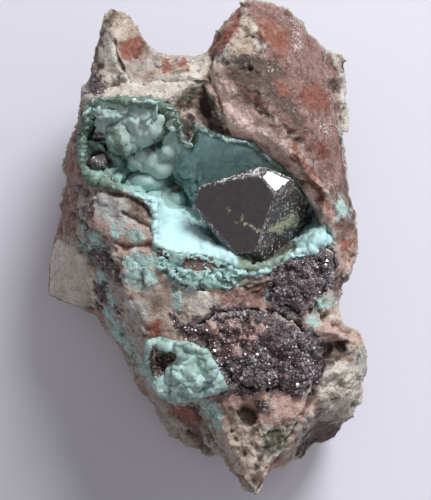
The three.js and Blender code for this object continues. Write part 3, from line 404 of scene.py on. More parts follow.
# Marks on the large crystal: etched bands and lines painted with silvery glints, and its grey
# lower corner.
ETCHED_BAND = [(-1.1, 10.0), (0.0, 11.2), (3.4, 12.4), (9.5, 14.2), (11.8, 13.6), (14.2, 12.8),
               (13.4, 12.1), (11.3, 12.4), (9.3, 12.3), (5, 11.4), (-0.8, 10)]
FACE_EDGE = [(11.9, 9.3), (9.9, 4.0), (8.3, -0.6)]
GREY_CORNER = [(9.4, 2.5), (11.8, 1.7), (11.3, 0.4), (8.4, -0.8)]
ETCHED_EDGE = [(11.0, 13.2), (14.4, 12.0), (16.5, 9.7), (17.6, 7.2), (17.6, 5.5)]
# The draped crusts.
DRUSE_OUTLINES = {
    "cuprite_druse_lower": [
        (-5.8, -10.7), (-4.1, -12), (-2.5, -13), (-0.4, -11.9), (1.7, -10.3), (4.2, -9.4),
        (7.1, -9.8), (10, -10.7), (12.5, -12.4), (14.6, -13.2), (16.7, -14.1), (18.8, -15.3),
        (19.6, -17.4), (18.6, -19.5), (18.2, -22), (17, -23.7), (15.4, -24.6), (13.4, -23.7),
        (11.3, -23.3), (9.6, -23.7), (7.9, -22.6), (5.9, -23.7), (3.8, -24.7), (3.1, -23.2),
        (1.7, -21.2), (0.6, -19.1), (-0.8, -17), (-2.5, -15.3), (-4.6, -13)],
    "cuprite_druse_right": [
        (11.7, -2), (14.2, -0.9), (16.3, -0.4), (18.8, -0.3), (21.1, -0.7), (21.5, -3.2),
        (21.3, -6.2), (19.2, -7.6), (17.7, -9.5), (16.3, -11.2), (14.2, -11.2), (12.1, -10.3),
        (11.1, -7.8), (11.5, -4.9)],
}
NET_OUTLINE = [(-8.8, 1.2), (-7.2, 0.2), (-5.4, -0.5), (-2.8, -0.9), (0, -1), (2.6, -1.8),
               (4.6, -3.2), (6.2, -4.4), (6.2, -5.6), (4.4, -6.6), (1, -7), (-3, -6.8), (-6.4, -5),
               (-8, -3.4), (-8.8, -1)]
NET_HOLLOWS = ([(-4, -2.2), (-2.6, -1.2), (-0.3, -1), (1.6, -1.8), (2, -2.9), (0.9, -3.9),
                (-1.5, -4), (-3.4, -3.4)],
               [(-8, 0.2), (-6.4, -0.2), (-5.8, -1.5), (-6.8, -2.6), (-7.9, -1.5)])
# Parts of the crust: painted shadow under the crystal, and olive in front of it.
SHADOW_UNDER_CRYSTAL = [(7.8, -0.6), (10, 0.2), (12.5, 0.4), (15.2, 1), (16, 0), (15, -0.9), (12, -1.5),
             (9.6, -2.2), (8, -2.2)]
OLIVE_GRAINS = [(5.4, -1.5), (8.9, -0.9), (12.4, -0.6), (14.4, -0.4), (13.6, -2.2), (11.2, -3.4),
                (8.9, -4.2), (6.5, -4.2), (5.4, -3.2)]
# Where the lower druse is thin and rusty.
RUST = [(-2, -14.4), (1.2, -11.6), (4.5, -10.8), (7.6, -11.2), (9.6, -12.8), (9, -14.6),
        (7.4, -16), (5.5, -17.4), (2.9, -18.2), (0.6, -17.6)]
KNOB_OUTLINE = [(-9.6, -15.4), (-7.4, -14.8), (-5, -15.6), (-2.6, -15.8), (0.6, -17), (2, -19.6),
                (3.4, -22), (3.9, -23.6), (1.4, -24.2), (-1.6, -25.4), (-5, -25.8), (-7.4, -24.8),
                (-9, -22.4), (-10, -19)]
# Other parts of the vug's lining: crumpled, the lit wall, a smooth lump and the upper wall.
CRUMPLED = [(-18.3, 24.3), (-12.5, 24), (-6.6, 23.3), (-5.5, 20.5), (-6.6, 18), (-9.1, 17.7),
            (-11.6, 16.3), (-14.1, 14.7), (-16.6, 11.7), (-18.8, 10.5), (-20.3, 14.7),
            (-20.5, 19.7), (-19.5, 23)]
SMOOTH_WALL = [(-8.6, 8.3), (-6.6, 7.5), (-4.5, 4.3), (-0.8, 2), (3.4, -0.3), (6.2, -3.3),
               (2.2, -4.3), (-2.5, -2.7), (-6.6, -2), (-8, 1.3), (-8.3, 5.5)]
SMOOTH_LUMP = [(-13.5, 11.3), (-12.5, 12.7), (-10.5, 13.3), (-7.8, 12.8), (-6.1, 11.3),
               (-6.5, 9.3), (-9.1, 8.3), (-12.1, 8.7)]
UPPER_WALL = [(-2, 20), (0, 19.2), (3.4, 17.7), (7.5, 16.7), (9.5, 15), (7.5, 13.7), (3.4, 12.7),
              (0, 11.3), (-1.6, 13.8), (-2.5, 17.2)]
KNOB_HOLLOW = [(-9.1, -17.3), (-8.0, -16.3), (-6.5, -17.0), (-4.8, -17.3), (-4.1, -18.2),
               (-5.5, -19.3), (-5.8, -21.0), (-7.5, -21.8), (-9.1, -21.0), (-9.5, -19.3)]
# The olive film on the large crystal: its patch, streaks and specks.
OLIVE_FILM = [(9.8, 2.9), (10.6, 3.9), (11.8, 4.1), (13, 5.3), (14, 5.8), (14.7, 6.5), (15.4, 6.2),
              (15.9, 5), (15.9, 3.9), (14.7, 3.4), (13.7, 3.1), (12.5, 2.1), (11.3, 2.4)]
FILM_STREAKS = ([(6.7, 4.2), (8.4, 3.1), (9.7, 2.8)], [(12.6, 6.5), (14, 7.2)],
                [(16, 8.3), (17.2, 7.6), (18, 6.7)], [(11.9, 9.2), (14.6, 9.9)])
FILM_SPECKS = [(3.9, 6.7), (5.4, 4.3), (6.2, 4.8), (6.9, 4.2)]

BALL = (-4.9, 7.9)  # middle of the round lump at the foot of the smooth wall
UNCOVERED = 7.6  # right of this the crust doesn't reach over the large crystal
CRYSTAL_AXES = np.array([(0.432, 0.313, 0.846), (-0.901, 0.126, 0.415), (0.024, -0.941, 0.337)])
# Directions of the crystal's two smooth faces, along its axes: the big one and the corner one.
SMOOTH_FACES = np.array([(1, 1, 1), (3 ** 0.5, 0, 0)]) / 3 ** 0.5


# ------------------------------------------------------------------ settings

def colour(name, description, default):
    """A colour that the user can change."""
    return FloatVectorProperty(name=name, description=description, default=default,
                               subtype="COLOR", min=0, max=1)


def length(name, description, millimetres):
    """A length that the user can change, in metres as the scene is."""
    return FloatProperty(name=name, description=description, default=millimetres * MM,
                         unit="LENGTH", precision=5, min=0)


class RockSettings(bpy.types.PropertyGroup):
    """Sizes and colours of the host rock."""
    mesh_step: length("Mesh step", "Spacing of the rock's mesh", 0.28)
    relief: length("Relief", "Height of the broken surface's own relief", 0.32)
    chip_size: length("Chip size", "Width of the facets left where the rock broke", 4.2)
    beige: colour("Beige rock", "Fresh pale limestone", (0.66, 0.635, 0.58))
    tan: colour("Tan rock", "Weathered rock between beige and pink", (0.53, 0.45, 0.37))
    pink: colour("Pink rock", "Pale iron-stained rock", (0.50, 0.345, 0.30))
    slab: colour("Brown slab", "Maroon brown slab", (0.26, 0.15, 0.126))
    # a pink painted paler than the rock as painted light, for the band beside the slab that is
    # turned from the key light
    rose: colour("Rose rock", "Palest iron-stained rock beside the slab", (0.92, 0.71, 0.65))
    # dark brown, partly the rock's own and partly painted shade on the cliff beside the vug and in
    # hollows
    umber: colour("Umber", "Dark brown skin of the hollows", (0.135, 0.098, 0.08))
    red: colour("Iron red", "Brick red patches of iron oxide", (0.29, 0.105, 0.07))
    # dark oxide and dirt in crevices, together with painted shade in them and on the cliff beside
    # the vug
    dark: colour("Dark crevice", "Dirt and dark oxide in the crevices", (0.07, 0.052, 0.045))
    milky: colour("Milky stain", "Pale blue-grey skin on the rock", (0.54, 0.575, 0.57))
    # silvery specks on the slab, their pale grey partly painted glints
    sparkle: colour("Sparkle", "Silvery specks on the slab", (0.60, 0.60, 0.60))
    moss: colour("Moss green", "Dark green copper stain", (0.12, 0.125, 0.085))
    turquoise: colour("Turquoise stain", "Thin chrysocolla stain on the rock", (0.42, 0.66, 0.64))
    druse: colour("Druse", "Purple-black ground of the fine cuprite", (0.085, 0.05, 0.058))
    flank: colour("Flank", "Weathered outer sides and back", (0.33, 0.245, 0.20))


class ChrysocollaSettings(bpy.types.PropertyGroup):
    """Sizes and colours of the chrysocolla."""
    mesh_step: length("Mesh step", "Spacing of the crust's mesh", 0.16)
    dome_size: length("Dome size", "Width of the larger rounded domes", 2.3)
    dome_height: length("Dome height", "Height of the larger rounded domes", 0.55)
    rim_width: length("Rim width", "Half width of the crust's crinkled rim", 0.17)
    # the chrysocolla's own pale tone, also its lit copy for painted light
    pale: colour("Pale crust", "Thick pale chrysocolla", (0.53, 0.79, 0.83))
    # whiter crust painted darker and greyer as painted shade over the crumpled upper left of the
    # vug
    chalk: colour("Chalky crust", "Whiter crumpled crust", (0.43, 0.57, 0.535))
    # the grey-green copy of the crust painted as in shade
    shaded: colour("Grey-green crust", "Thinner crust deep in the vug", (0.31, 0.48, 0.45))
    # painted shade in crevices and low in the vug, with a more saturated green
    deep: colour("Crevices", "Saturated green between the domes", (0.09, 0.23, 0.215))
    rim: colour("Rim", "Dark green edge of the crust", (0.11, 0.16, 0.12))


class CupriteSettings(bpy.types.PropertyGroup):
    """Sizes and colours of the cuprite."""
    edge_round: length("Edge round", "Width of the worn edge between faces", 0.16)
    step_height: length("Step height", "Height of growth steps on the rough faces", 0.11)
    grain_small: length("Smallest grain", "Radius of the smallest druse grain", 0.14)
    grain_large: length("Largest grain", "Radius of the largest druse grain", 0.50)
    grain_spacing: length("Grain spacing", "Least distance between druse grains", 0.42)
    seed: IntProperty(name="Seed", description="Order of the random grains", default=7, min=0)
    face: colour("Face", "Dark submetallic red-black of the crystal", (0.022, 0.015, 0.015))
    film: colour("Film", "Olive malachite film on the crystal", (0.31, 0.33, 0.22))


class StageSettings(bpy.types.PropertyGroup):
    """The stand-alone studio around the specimen."""
    floor: colour("Floor", "Pale lavender-grey paper", (0.74, 0.75, 0.84))
    key_power: FloatProperty(name="Key light", description="Power of the soft window light",
                             default=15.0, min=0, unit="POWER")
    low_power: FloatProperty(name="Low window", description="Power of the light that the "
                             "crystal's corner face mirrors", default=0.34, min=0, unit="POWER")
    ambient: FloatProperty(name="Ambient", description="Strength of the light from all round",
                           default=0.40, min=0, max=5)


# ------------------------------------------------------------------ noise
# Every pattern has a seed of its own, so that no two look alike.

HASH_AXES = (73856093, 19349663, 83492791)
HASH_SEED = 49979687
HASH_STIRS = ((15, 2246822519), (13, 3266489917))
HASH_TURN = 668265263
HASH_TOP = 0xFFFFFFFF


def corner_values(cells, seed):
    """Three random numbers from 0 to 1 for each lattice cell, the same every time."""
    x, y, z = (cells[:, i].astype(np.int64) * step for i, step in enumerate(HASH_AXES))
    mixed = x ^ y ^ z ^ (seed * HASH_SEED)
    values = []
    for turn in range(3):
        for shift, stir in HASH_STIRS:
            mixed = ((mixed ^ (mixed >> shift)) * stir) & HASH_TOP
        mixed = mixed ^ (mixed >> 16)
        values.append(mixed / HASH_TOP)
        mixed = mixed + HASH_TURN + turn
    return np.stack(values, 1)


def swell(points, size, seed):
    """Smooth random height from about -1 to 1, in lumps about size millimetres wide."""
    scaled = points / size
    cell = np.floor(scaled)
    part = scaled - cell
    ease = part ** 3 * (part * (part * 6 - 15) + 10)
    total = np.zeros(len(points))
    for corner in itertools.product((0, 1), repeat=3):
        corner = np.array(corner)
        pull = corner_values(cell + corner, seed) * 2 - 1
        weight = np.prod(np.where(corner, ease, 1 - ease), axis=1)
        total += weight * ((part - corner) * pull).sum(1)
    return total * 1.5


def rumple(points, size, seed, octaves=3, fade=0.5):
    """Several sizes of swell at once, each half as wide as the one before."""
    return sum(swell(points, size / 2 ** i, seed + i * 17) * fade ** i for i in range(octaves))


def ridges(points, size, seed, octaves=2):
    """Sharp branching ridges from 0 to 1."""
    total = np.zeros(len(points))
    for i in range(octaves):
        height = 1 - np.abs(swell(points, size / 2 ** i, seed + i * 29)) * 2
        total += height.clip(0, 1) * 0.6 ** i
    return total / sum(0.6 ** i for i in range(octaves))


def nearest_cells(points, size, seed):
    """Distances to the two nearest scattered centres in cell widths, the offset from the
    nearest, and its three random numbers."""
    scaled = points / size
    cell = np.floor(scaled)
    first = np.full(len(points), 9.0)
    second = first.copy()
    offset, own = np.zeros((len(points), 3)), np.zeros((len(points), 3))
    for step in itertools.product((-1, 0, 1), repeat=3):
        values = corner_values(cell + step, seed)
        gap = scaled - (cell + step + values)
        distance = np.linalg.norm(gap, axis=1)
        closer = distance < first
        second = np.where(closer, first, np.minimum(second, distance))
        first = np.where(closer, distance, first)
        offset[closer] = gap[closer]
        own[closer] = values[closer]
    return first, second, offset, own


def domes(points, size, seed):
    """Rounded domes side by side, 1 at the top and near 0 in the creases."""
    first = nearest_cells(points, size, seed)[0]
    return np.sqrt((1 - (first / 0.95) ** 2).clip(0, 1))


def billows(points, size, seed, octaves=4):
    """Rounded lumps of several sizes with sharp creases between them, from 0 to about 1."""
    return sum(np.abs(swell(points, size / 2 ** i, seed + i * 23)) * 0.7 ** i
               for i in range(octaves))


def chips(points, size, seed):
    """Tilted flat facets with sharp steps between them, about -0.5 to 0.5."""
    offset, own = nearest_cells(points, size, seed)[2:]
    return (offset * (own * 2 - 1)).sum(1)


def bent(points, amount, size, seed, octaves=3):
    """Points moved about, so that patterns laid out on them come out less regular."""
    return points + amount * np.stack(
        [rumple(points, size, seed + axis, octaves) for axis in range(3)], 1)


def ease_between(values, low, high):
    """0 below low, 1 above high and smooth between."""
    part = ((values - low) / (high - low)).clip(0, 1)
    return part * part * (3 - 2 * part)


# ------------------------------------------------------------------ outlines on a surface

def seen_in_front(points):
    """Where each point falls on the plane that the outlines are drawn on."""
    scale = EYE_RISE / (EYE_RISE + DRAWING_HEIGHT - points[:, 2])
    return EYE_OVER + (points[:, :2] - EYE_OVER) * scale[:, None]


def outline_depth(places, outline):
    """How far each place lies inside an outline: negative outside, kept within REACH."""
    corners = np.array(outline, float)
    depth = np.full(len(places), -REACH)
    near = ((places > corners.min(0) - REACH) & (places < corners.max(0) + REACH)).all(1)
    here = places[near]
    gap = np.full(len(here), REACH)
    inside = np.zeros(len(here), bool)
    for a, b in zip(corners, np.roll(corners, -1, 0)):
        gap = np.minimum(gap, segment_gap(here, a, b))
        crosses = (a[1] > here[:, 1]) != (b[1] > here[:, 1])
        rise = (b[1] - a[1]) or 1e-9
        inside ^= crosses & (here[:, 0] < a[0] + (here[:, 1] - a[1]) / rise * (b[0] - a[0]))
    depth[near] = np.where(inside, gap, -gap)
    return depth


def segment_gap(places, a, b):
    """Distance from each place to the line from a to b."""
    along = b - a
    part = (((places - a) @ along) / (along @ along)).clip(0, 1)
    return np.linalg.norm(places - a - part[:, None] * along, axis=1)


def line_gap(places, line):
    """Distance from each place to a broken line."""
    corners = np.array(line, float)
    return np.min([segment_gap(places, a, b) for a, b in zip(corners, corners[1:])], axis=0)


def torn_sheet(places, line, reach):
    """1 along the left edge of a broken line, falling off to its left and sharply to its right."""
    corners = np.array(line, float)
    gap = np.full(len(places), 99.0)
    left = np.zeros(len(places), bool)
    for a, b in zip(corners, corners[1:]):
        here = segment_gap(places, a, b)
        nearer = here < gap
        gap = np.where(nearer, here, gap)
        side = (b[0] - a[0]) * (places[:, 1] - a[1]) - (b[1] - a[1]) * (places[:, 0] - a[0])
        left = np.where(nearer, side > 0, left)
    return np.where(left, np.exp(-(gap / reach) ** 2), (1 - gap / TEAR_WIDTH).clip(0, 1))


def wandering(points, size, amount, seed):
    """The places of points on the drawing plane, moved about so that outlines look natural."""
    shift = np.stack([rumple(points, size, seed), rumple(points, size, seed + 101)], 1)
    return seen_in_front(points) + shift * amount


# ------------------------------------------------------------------ surfaces

class Skin:
    """A mesh's vertices in millimetres, with what carving them needs."""

    def __init__(self, mesh):
        self.mesh = mesh
        self.points = np.zeros(len(mesh.vertices) * 3)
        mesh.vertices.foreach_get("co", self.points)
        self.points = self.points.reshape(-1, 3) / MM
        ends = np.zeros(len(mesh.edges) * 2, np.int32)
        mesh.edges.foreach_get("vertices", ends)
        self.tail, self.head = ends.reshape(-1, 2).T
        self.share = np.bincount(ends, minlength=len(self.points)).clip(1)
        self.top = np.ones(len(self.points), bool)

    def neighbours(self, values):
        """The sum of the neighbours' values for each vertex."""
        count = len(self.points)
        return (np.bincount(self.tail, values[self.head], count)
                + np.bincount(self.head, values[self.tail], count))

    def spread(self, values, rounds):
        """Each value averaged with its neighbours', again and again."""
        for _ in range(rounds):
            values = (values + self.neighbours(values) / self.share) / 2
        return values

    def spread_points(self, rounds):
        """The points, smoothed."""
        return np.stack([self.spread(axis, rounds) for axis in self.points.T], 1)

    def smooth(self, rounds, regain=0.45):
        """Softens the surface and gives back a share of what smoothing takes off."""
        for _ in range(rounds):
            self.points = self.spread_points(1)
            around = np.stack([self.neighbours(axis) / self.share for axis in self.points.T], 1)
            self.points = self.points + (self.points - around) * regain

    def normals(self):
        """Outward directions at the vertices."""
        self.write()
        normals = np.zeros(len(self.points) * 3, np.float32)
        self.mesh.vertices.foreach_get("normal", normals)
        return normals.reshape(-1, 3).astype(float)

    def hollow(self, rounds, scale):
        """Above 0 in hollows and below 0 on ridges, about -1 to 1."""
        depth = ((self.spread_points(rounds) - self.points) * self.normals()).sum(1)
        return (self.spread(depth, 1) / scale).clip(-1, 1)

    def even_walls(self):
        """Evens out the height of a crust where it stands steep."""
        steep = 1 - ease_between(self.spread(np.abs(self.normals()[:, 2]), 3), 0.25, 0.6)
        rise = self.points[:, 2]
        self.points[:, 2] = rise + (self.spread(rise, 40) - rise) * steep * self.top

    def raise_top(self, height):
        """Moves a crust's upper side outwards by a height for each vertex."""
        even = self.points.copy()
        self.points = self.spread_points(2)
        normals = self.normals()
        self.points = even
        self.points[self.top] += (normals * height[:, None])[self.top]

    def write(self):
        """Puts the points back into the mesh."""
        self.mesh.vertices.foreach_set("co", (self.points * MM).astype(np.float32).ravel())
        self.mesh.update()

    def mark(self, **marks):
        """Stores one number for each vertex under each name, for the material to read."""
        for name, values in marks.items():
            attribute = self.mesh.attributes.new(name, "FLOAT", "POINT")
            attribute.data.foreach_set("value", np.asarray(values, np.float32))


def solid_copy(*nodes):
    """One merged mesh of CAD nodes' solids."""
    shape = bmesh.new()
    for node in nodes:
        shape.from_mesh(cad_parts[node].data)
    bmesh.ops.remove_doubles(shape, verts=shape.verts, dist=WELD)
    mesh = bpy.data.meshes.new("solid")
    shape.to_mesh(mesh)
    shape.free()
    mesh.materials.clear()
    return mesh


def evened(step, *nodes):
    """CAD nodes' solids in one even mesh of squares about step metres wide."""
    carrier = carried(solid_copy(*nodes))
    remesh = carrier.modifiers.new("even", "REMESH")
    remesh.mode = "VOXEL"
    remesh.voxel_size = step
    return settled(carrier)


def carried(mesh):
    """A passing object that holds a mesh while modifiers work on it."""
    carrier = bpy.data.objects.new("carrier", mesh)
    bpy.context.scene.collection.objects.link(carrier)
    return carrier


def settled(carrier):
    """The mesh that a passing object's modifiers make, once the object is taken away."""
    bpy.context.view_layer.update()
    made = bpy.data.meshes.new_from_object(
        carrier.evaluated_get(bpy.context.evaluated_depsgraph_get()))
    bpy.data.objects.remove(carrier)
    return made


def solid_tree(*nodes):
    """CAD nodes' solids, to measure distances to."""
    mesh = solid_copy(*nodes)
    tree = BVHTree.FromPolygons([v.co / MM for v in mesh.vertices],
                                [p.vertices[:] for p in mesh.polygons])
    bpy.data.meshes.remove(mesh)
    return tree


def buried(points, normals, nodes, reach):
    """1 where a surface faces another node's solid less than reach away, else 0."""
    tree = solid_tree(*nodes)
    hits = [tree.ray_cast(Vector(point), Vector(normal), reach)[0] is not None
            for point, normal in zip(points, normals)]
    return np.array(hits, float)


def piece(name, mesh, material, slot, *nodes, smooth=True):
    """Makes a finished piece that rides on the specimen and stands for CAD nodes."""
    mesh.materials.clear()
    mesh.materials.append(material)
    mesh.polygons.foreach_set("use_smooth", [smooth] * len(mesh.polygons))
    mesh.polygons.foreach_set("material_index", [0] * len(mesh.polygons))
    mesh.update()
    made = bpy.data.objects.new(name, mesh)
    bpy.context.scene.collection.objects.link(made)
    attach(made, "root")
    if nodes:
        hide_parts(*nodes)
    return made


# ------------------------------------------------------------------ materials

class Paint:
    """A node material, put together one pattern at a time."""

    def __init__(self, name):
        self.material = bpy.data.materials.new(name)
        self.material.use_nodes = True
        self.tree = self.material.node_tree
        self.tree.nodes.clear()
        self.place = self.add("ShaderNodeTexCoord").outputs["Object"]

    def add(self, kind, feeds=None, **settings):
        """Adds a node with its settings and what its sockets are fed."""
        node = self.tree.nodes.new(kind)
        for name, value in settings.items():
            setattr(node, name, value)
        for socket, value in (feeds or {}).items():
            self.feed(node.inputs[socket], value)
        return node

    def feed(self, socket, value):
        """Links a socket, or sets the number or colour it holds."""
        if isinstance(value, bpy.types.NodeSocket):
            self.tree.links.new(value, socket)
        elif socket.type == "RGBA":
            socket.default_value = (*value[:3], 1)
        else:
            socket.default_value = value

    def stored(self, name):
        """A number stored on the mesh."""
        return self.add("ShaderNodeAttribute", attribute_name=name).outputs["Fac"]

    def grain(self, size, detail=3.0, rough=0.6, distortion=0.0, shift=0.0):
        """Cloudy noise about size millimetres wide, from 0 to 1."""
        place = self.place
        if shift:
            place = self.add("ShaderNodeVectorMath", {0: place, 1: (shift, shift * 2, shift)},
                             operation="ADD").outputs[0]
        return self.add("ShaderNodeTexNoise", {
            "Vector": place, "Scale": 1 / (size * MM), "Detail": detail, "Roughness": rough,
            "Distortion": distortion}).outputs[0]

    def streaks(self, size, turn):
        """Noise drawn out along one direction: its widths in millimetres and its turn."""
        place = self.add("ShaderNodeMapping", {
            "Vector": self.place, "Rotation": (0, 0, turn),
            "Scale": tuple(1 / (side * MM) for side in size)}).outputs[0]
        return self.add("ShaderNodeTexNoise", {
            "Vector": place, "Scale": 1.0, "Detail": 3.0, "Roughness": 0.6}).outputs[0]

    def cells(self, size, output="Distance"):
        """A pattern of scattered cells about size millimetres wide."""
        return self.add("ShaderNodeTexVoronoi", {
            "Vector": self.place, "Scale": 1 / (size * MM)}).outputs[output]

    def math(self, operation, a, b=0.0):
        """Two numbers put together."""
        return self.add("ShaderNodeMath", {0: a, 1: b}, operation=operation).outputs[0]

    def product(self, a, b):
        """Two numbers multiplied."""
        return self.math("MULTIPLY", a, b)

    def raised(self, a, share, b):
        """A share of one number added to another."""
        return self.add("ShaderNodeMath", {0: a, 1: share, 2: b},
                        operation="MULTIPLY_ADD").outputs[0]

    def ragged(self, noise, amount, depth, middle=0.5):
        """A depth with noise added, so that what ends where it is 0 has a ragged edge."""
        return self.raised(self.math("SUBTRACT", noise, middle), amount, depth)

    def between(self, share, a, b):
        """Number a where share is 0 and b where it is 1."""
        return self.add("ShaderNodeMix", {0: share, 2: a, 3: b}).outputs[0]

    def chances(self, size):
        """Random numbers from 0 to 1, three for each cell about size millimetres wide."""
        return self.add("ShaderNodeSeparateColor", {0: self.cells(size, "Color")}).outputs

    def step(self, value, low, high, bottom=0.0, top=1.0):
        """A smooth step from bottom to top."""
        return self.add("ShaderNodeMapRange", {
            "Value": value, "From Min": low, "From Max": high, "To Min": bottom, "To Max": top},
            interpolation_type="SMOOTHSTEP").outputs["Result"]

    def blend(self, share, a, b, how="MIX"):
        """Colour a where share is 0 and b where it is 1."""
        return self.add("ShaderNodeMix", {0: share, 6: a, 7: b}, data_type="RGBA",
                        blend_type=how).outputs[2]

    def shade(self, base, share, tint):
        """Darkens a colour by a tint where share is 1."""
        return self.blend(share, base, tint, "MULTIPLY")

    def finish(self, colour_in, rough, height=None, relief=0.15, strength=1.0, **sockets):
        """Ends the material in its surface shader."""
        shader = self.add("ShaderNodeBsdfPrincipled", {
            "Base Color": colour_in, "Roughness": rough, **sockets})
        if height is not None:
            bump = self.add("ShaderNodeBump", {
                "Height": height, "Distance": relief * MM, "Strength": strength})
            self.feed(shader.inputs["Normal"], bump.outputs[0])
        end = self.add("ShaderNodeOutputMaterial")
        self.feed(end.inputs["Surface"], shader.outputs[0])
        return self.material


def darker(shade, share):
    """A colour times a number."""
    return tuple(channel * share for channel in shade)


# Colours that only tint or fleck a piece. Some are painted light: shade in the rock's and the
# druse's hollows, glints on the druse, its grains and the large crystal, and a brown that is a
# stain in the cups and a painted shadow under the large crystal.
ROCK_GRIME, ROCK_PEPPER, ROCK_SHADE = (0.56, 0.44, 0.39), (0.35, 0.28, 0.26), (0.28, 0.21, 0.19)
DARK_RUST, PALE_RUST = (0.26, 0.135, 0.115), (0.50, 0.32, 0.29)
DRUSE_GLINT, DRUSE_SHADE = (0.36, 0.33, 0.36), (0.2, 0.14, 0.15)
DARK_OLIVE, PALE_OLIVE = (0.10, 0.12, 0.08), (0.27, 0.35, 0.24)
CUP_STAIN_AND_SHADOW = (0.075, 0.045, 0.04)
ROUGH_FACE_DARK, ROUGH_FACE_PALE = (0.02, 0.013, 0.018), (0.085, 0.06, 0.075)
CORNER_GREY, WORN_EDGE_GLINT = (0.12, 0.10, 0.11), (0.34, 0.31, 0.28)
GLINT_DOT, ETCH_GLINT = (0.80, 0.78, 0.76), (0.72, 0.72, 0.70)
GRAIN_BROWN, GRAIN_GLINT = (0.19, 0.11, 0.125), (0.40, 0.38, 0.44)

WARMTH = (0.85, 1.1, 1.2)  # darker patches lose less red than blue
# How each zone is finished: its darker patches, its flecks and their share, the width of its
# patches, the raggedness, the softness and the retreat of its edge, and its gloss.
ZONE_FINISH = {
    "beige": (0.76, (0.30, 0.26, 0.20), 0.18, 2.6, 0.9, 0.5, 0.0, 0.85),
    "tan": (0.68, (0.66, 0.61, 0.54), 0.30, 1.7, 1.4, 0.9, 0.0, 0.85),
    "pink": (0.66, (0.55, 0.48, 0.42), 0.25, 1.8, 1.3, 0.8, 0.0, 0.85),
    "slab": (0.50, (0.42, 0.29, 0.25), 0.26, 1.6, 1.3, 0.7, 0.0, 0.6),
    "rose": (0.72, (0.45, 0.32, 0.28), 0.25, 1.8, 1.3, 1.8, 0.3, 0.75),
    "umber": (0.55, (0.27, 0.21, 0.17), 0.18, 1.3, 1.5, 1.1, 0.0, 0.7),
    "red": (0.62, (0.24, 0.15, 0.13), 0.30, 1.3, 1.8, 1.0, 0.0, 0.75),
    "dark": (0.5, (0.20, 0.16, 0.13), 0.15, 1.0, 1.4, 0.9, 0.0, 0.75),
    "moss": (0.6, (0.25, 0.28, 0.22), 0.25, 1.0, 1.3, 0.8, 0.0, 0.8),
    "milky": (0.8, (0.50, 0.38, 0.34), 0.25, 1.2, 1.6, 1.3, -0.2, 0.8),
    "turquoise": (0.7, (0.36, 0.30, 0.25), 0.22, 1.1, 1.7, 0.7, -0.1, 0.7),
    "druse": (0.4, (0.30, 0.20, 0.20), 0.30, 0.9, 1.5, 0.5, 0.0, 0.35),
    "sparkle": (0.8, (0.85, 0.85, 0.85), 0.40, 0.5, 3.2, 0.5, 1.6, 0.35),
}


def rock_material():
    """Iron-stained rock, with each of its zones painted inside its outline, painted shade with
    some dirt in its hollows, and dust with a painted highlight on its ridges.
    """
    look = bpy.context.scene.rock_settings
    paint = Paint("stained_rock")
    broad = paint.grain(7, 4, 0.6)
    patch = paint.grain(2.2, 4, 0.65)
    ragged = paint.grain(1.5, 5, 0.72, shift=0.03)
    fine = paint.grain(0.5, 4, 0.7)
    speck = paint.grain(0.75, 3, 0.75, shift=0.011)
    wide = paint.math("SUBTRACT", ragged, 0.5)
    narrow = paint.math("SUBTRACT", paint.grain(0.42, 3, 0.7, shift=0.017), 0.5)

    base = paint.blend(paint.step(broad, 0.40, 0.56), tuple(look.flank), darker(look.beige, 0.62))
    base = paint.blend(paint.step(patch, 0.55, 0.68, 0, 0.8), base, darker(look.pink, 0.75))
    stains = paint.grain(4.5, 5, 0.7, 0.5, shift=0.07)
    base = paint.blend(paint.step(stains, 0.56, 0.64, 0, 0.7), base, tuple(look.slab))
    base = paint.blend(paint.step(speck, 0.58, 0.70, 0, 0.8), base, darker(look.slab, 0.6))
    rough = 0.85
    bits = paint.step(fine, 0.35, 0.65)
    for zone, (low, fleck, share, size, rag, soft, retreat, gloss) in ZONE_FINISH.items():
        own = tuple(getattr(look, zone))
        dim = tuple(channel * low ** power for channel, power in zip(own, WARMTH))
        body = paint.blend(paint.step(patch if size > 1.5 else speck, 0.36, 0.62), dim, own)
        body = paint.blend(paint.step(bits, 1 - share, 1, 0, 0.7), body, fleck)
        depth = paint.raised(wide if size > 0.8 else narrow, rag * 3, paint.stored(zone))
        mask = paint.step(depth, retreat - soft / 2, retreat + soft / 2)
        base = paint.blend(mask, base, body)
        rough = paint.between(mask, rough, gloss)

    hollow = paint.stored("hollow")
    grime = paint.grain(2.8, 5, 0.75, 0.6, shift=0.05)
    base = paint.shade(base, paint.step(grime, 0.56, 0.70, 0, 0.5), ROCK_GRIME)
    pepper = paint.product(paint.step(paint.cells(0.6), 0.34, 0.16),
                           paint.step(grime, 0.40, 0.52))
    base = paint.shade(base, paint.product(pepper, 0.55), ROCK_PEPPER)
    # painted shade, with some dirt, in the hollows; dust and a painted highlight make the ridges
    # paler
    base = paint.shade(base, paint.step(hollow, 0.0, 0.7, 0, 0.92), ROCK_SHADE)
    base = paint.blend(paint.step(hollow, -0.15, -0.9, 0, 0.4), base, darker(look.beige, 1.05))
    height = paint.raised(paint.cells(0.45), 0.35, paint.raised(speck, 0.7, fine))
    return paint.finish(base, rough, height, relief=0.28, strength=0.8)


